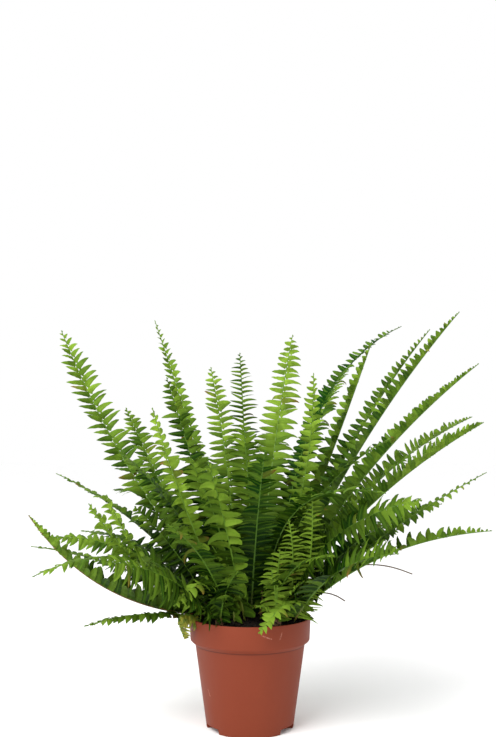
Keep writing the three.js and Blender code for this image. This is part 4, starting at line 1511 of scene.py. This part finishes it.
class StageSettings(bpy.types.PropertyGroup):
    """The camera, floor and lights."""

    camera_distance: bpy.props.FloatProperty(
        name="Camera Distance", description="In front of the pot's axis", default=0.9, subtype="DISTANCE"
    )
    camera_height: bpy.props.FloatProperty(
        name="Camera Height", description="Above the table", default=0.266, subtype="DISTANCE"
    )
    camera_tilt: bpy.props.FloatProperty(
        name="Camera Tilt", description="How far it looks up", default=math.radians(5.4), subtype="ANGLE"
    )
    lens: bpy.props.FloatProperty(name="Lens", description="Focal length in millimetres", default=43.4)
    floor: bpy.props.FloatVectorProperty(
        name="Floor", description="Colour of the floor", size=4, subtype="COLOR",
        default=(1, 1, 1, 1),
    )
    sky: bpy.props.FloatProperty(name="Sky", description="Strength of the light all round", default=1.0)
    key_light: bpy.props.FloatProperty(
        name="Key Light", description="Power of the large light", default=30, subtype="POWER"
    )


CAMERA_SIDE = -2 * MM
KEY_PLACE = (-0.7, -0.9, 1.3)
KEY_AIM = (0, 0, 0.25)
KEY_WIDTH = 1.2
FLOOR_WIDTH = 40


class FERN_OT_stage(bpy.types.Operator):
    """Adds the floor, the lights and the camera"""

    bl_idname = "fern.stage"
    bl_label = "Stage"

    def execute(self, context):
        settings = context.scene.fern_stage
        floor = fresh(bpy.ops.mesh.primitive_plane_add, "floor", size=FLOOR_WIDTH)
        wear(floor, material_for("studio_floor", settings))
        world = bpy.data.worlds.new("studio")
        world.use_nodes = True
        background = world.node_tree.nodes["Background"]
        background.inputs["Color"].default_value = (1, 1, 1, 1)
        background.inputs["Strength"].default_value = settings.sky
        context.scene.world = world
        pick_none()
        bpy.ops.object.light_add(type="AREA", location=KEY_PLACE)
        key = context.object
        key.name = "key_light"
        key.data.shape = "DISK"
        key.data.size = KEY_WIDTH
        key.data.energy = settings.key_light
        key.rotation_euler = (Vector(KEY_AIM) - key.location).to_track_quat("-Z", "Y").to_euler()
        pick_none()
        place = (CAMERA_SIDE, -settings.camera_distance, settings.camera_height)
        bpy.ops.object.camera_add(location=place)
        camera = context.object
        camera.name = "camera"
        camera.rotation_euler = (math.pi / 2 + settings.camera_tilt, 0, 0)
        camera.data.lens = settings.lens
        camera.data.sensor_width = 36
        context.scene.camera = camera
        context.scene.view_settings.view_transform = "Standard"
        return {"FINISHED"}


class FERN_OT_pot(bpy.types.Operator):
    """Models the nursery pot"""

    bl_idname = "fern.pot"
    bl_label = "Pot"
    bl_options = {"REGISTER", "UNDO"}

    def execute(self, context):
        model_pot(context.scene.fern_pot)
        return {"FINISHED"}


class FERN_OT_peat(bpy.types.Operator):
    """Models the peat that fills the pot"""

    bl_idname = "fern.peat"
    bl_label = "Peat"
    bl_options = {"REGISTER", "UNDO"}

    def execute(self, context):
        model_peat(context.scene.fern_pot)
        return {"FINISHED"}


class FERN_OT_clumps(bpy.types.Operator):
    """Grows the clumps of short fronds"""

    bl_idname = "fern.clumps"
    bl_label = "Clumps"
    bl_options = {"REGISTER", "UNDO"}

    def execute(self, context):
        grow_clumps(context.scene.fern)
        return {"FINISHED"}


class FERN_OT_withered_frond(bpy.types.Operator):
    """Grows the small dying frond that hangs over the rim"""

    bl_idname = "fern.withered_frond"
    bl_label = "Withered Frond"
    bl_options = {"REGISTER", "UNDO"}

    def execute(self, context):
        model_withered(context.scene.fern)
        return {"FINISHED"}


class FERN_OT_dry_stems(bpy.types.Operator):
    """Models the wiry runners and the old stalk"""

    bl_idname = "fern.dry_stems"
    bl_label = "Runners and Old Stalk"
    bl_options = {"REGISTER", "UNDO"}

    def execute(self, context):
        model_runners(context.scene.fern)
        model_stalk(context.scene.fern)
        return {"FINISHED"}


class FERN_OT_tall_fronds(bpy.types.Operator):
    """Grows the tall fronds"""

    bl_idname = "fern.tall_fronds"
    bl_label = "Tall Fronds"
    bl_options = {"REGISTER", "UNDO"}

    def execute(self, context):
        grow_tuft("tall_frond", context.scene.fern)
        return {"FINISHED"}


class FERN_OT_middle_fronds(bpy.types.Operator):
    """Grows the fronds of middle height"""

    bl_idname = "fern.middle_fronds"
    bl_label = "Middle Fronds"
    bl_options = {"REGISTER", "UNDO"}

    def execute(self, context):
        grow_tuft("middle_frond", context.scene.fern)
        return {"FINISHED"}


class FERN_OT_low_fronds(bpy.types.Operator):
    """Grows the fronds that spread low over the rim"""

    bl_idname = "fern.low_fronds"
    bl_label = "Low Fronds"
    bl_options = {"REGISTER", "UNDO"}

    def execute(self, context):
        grow_tuft("low_frond", context.scene.fern)
        return {"FINISHED"}


class FERN_OT_front_fronds(bpy.types.Operator):
    """Grows the short fronds at the front"""

    bl_idname = "fern.front_fronds"
    bl_label = "Front Fronds"
    bl_options = {"REGISTER", "UNDO"}

    def execute(self, context):
        grow_tuft("front_frond", context.scene.fern)
        return {"FINISHED"}


class FERN_OT_back_fronds(bpy.types.Operator):
    """Grows the fronds at the back"""

    bl_idname = "fern.back_fronds"
    bl_label = "Back Fronds"
    bl_options = {"REGISTER", "UNDO"}

    def execute(self, context):
        grow_tuft("back_frond", context.scene.fern)
        return {"FINISHED"}


OPERATORS = (
    FERN_OT_pot,
    FERN_OT_peat,
    FERN_OT_tall_fronds,
    FERN_OT_middle_fronds,
    FERN_OT_low_fronds,
    FERN_OT_front_fronds,
    FERN_OT_back_fronds,
    FERN_OT_clumps,
    FERN_OT_withered_frond,
    FERN_OT_dry_stems,
    FERN_OT_stage,
)


class FERN_PT_panel(bpy.types.Panel):
    """Lists the pieces of the potted fern"""

    bl_idname = "FERN_PT_panel"
    bl_label = "Potted Fern"
    bl_space_type = "VIEW_3D"
    bl_region_type = "UI"
    bl_category = "Potted Fern"

    def draw(self, context):
        for operator in OPERATORS:
            self.layout.operator(operator.bl_idname)


CLASSES = (FernSettings, PotSettings, StageSettings, *OPERATORS, FERN_PT_panel)


def register():
    """Makes the operators, the panel and the settings known."""
    for cls in CLASSES:
        bpy.utils.register_class(cls)
    bpy.types.Scene.fern = bpy.props.PointerProperty(type=FernSettings)
    bpy.types.Scene.fern_pot = bpy.props.PointerProperty(type=PotSettings)
    bpy.types.Scene.fern_stage = bpy.props.PointerProperty(type=StageSettings)


def unregister():
    del bpy.types.Scene.fern, bpy.types.Scene.fern_pot, bpy.types.Scene.fern_stage
    for cls in reversed(CLASSES):
        bpy.utils.unregister_class(cls)


def main():
    """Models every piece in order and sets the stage."""
    register()
    for operator in OPERATORS:
        group, name = operator.bl_idname.split(".")
        getattr(getattr(bpy.ops, group), name)()


if __name__ == "__main__":
    main()
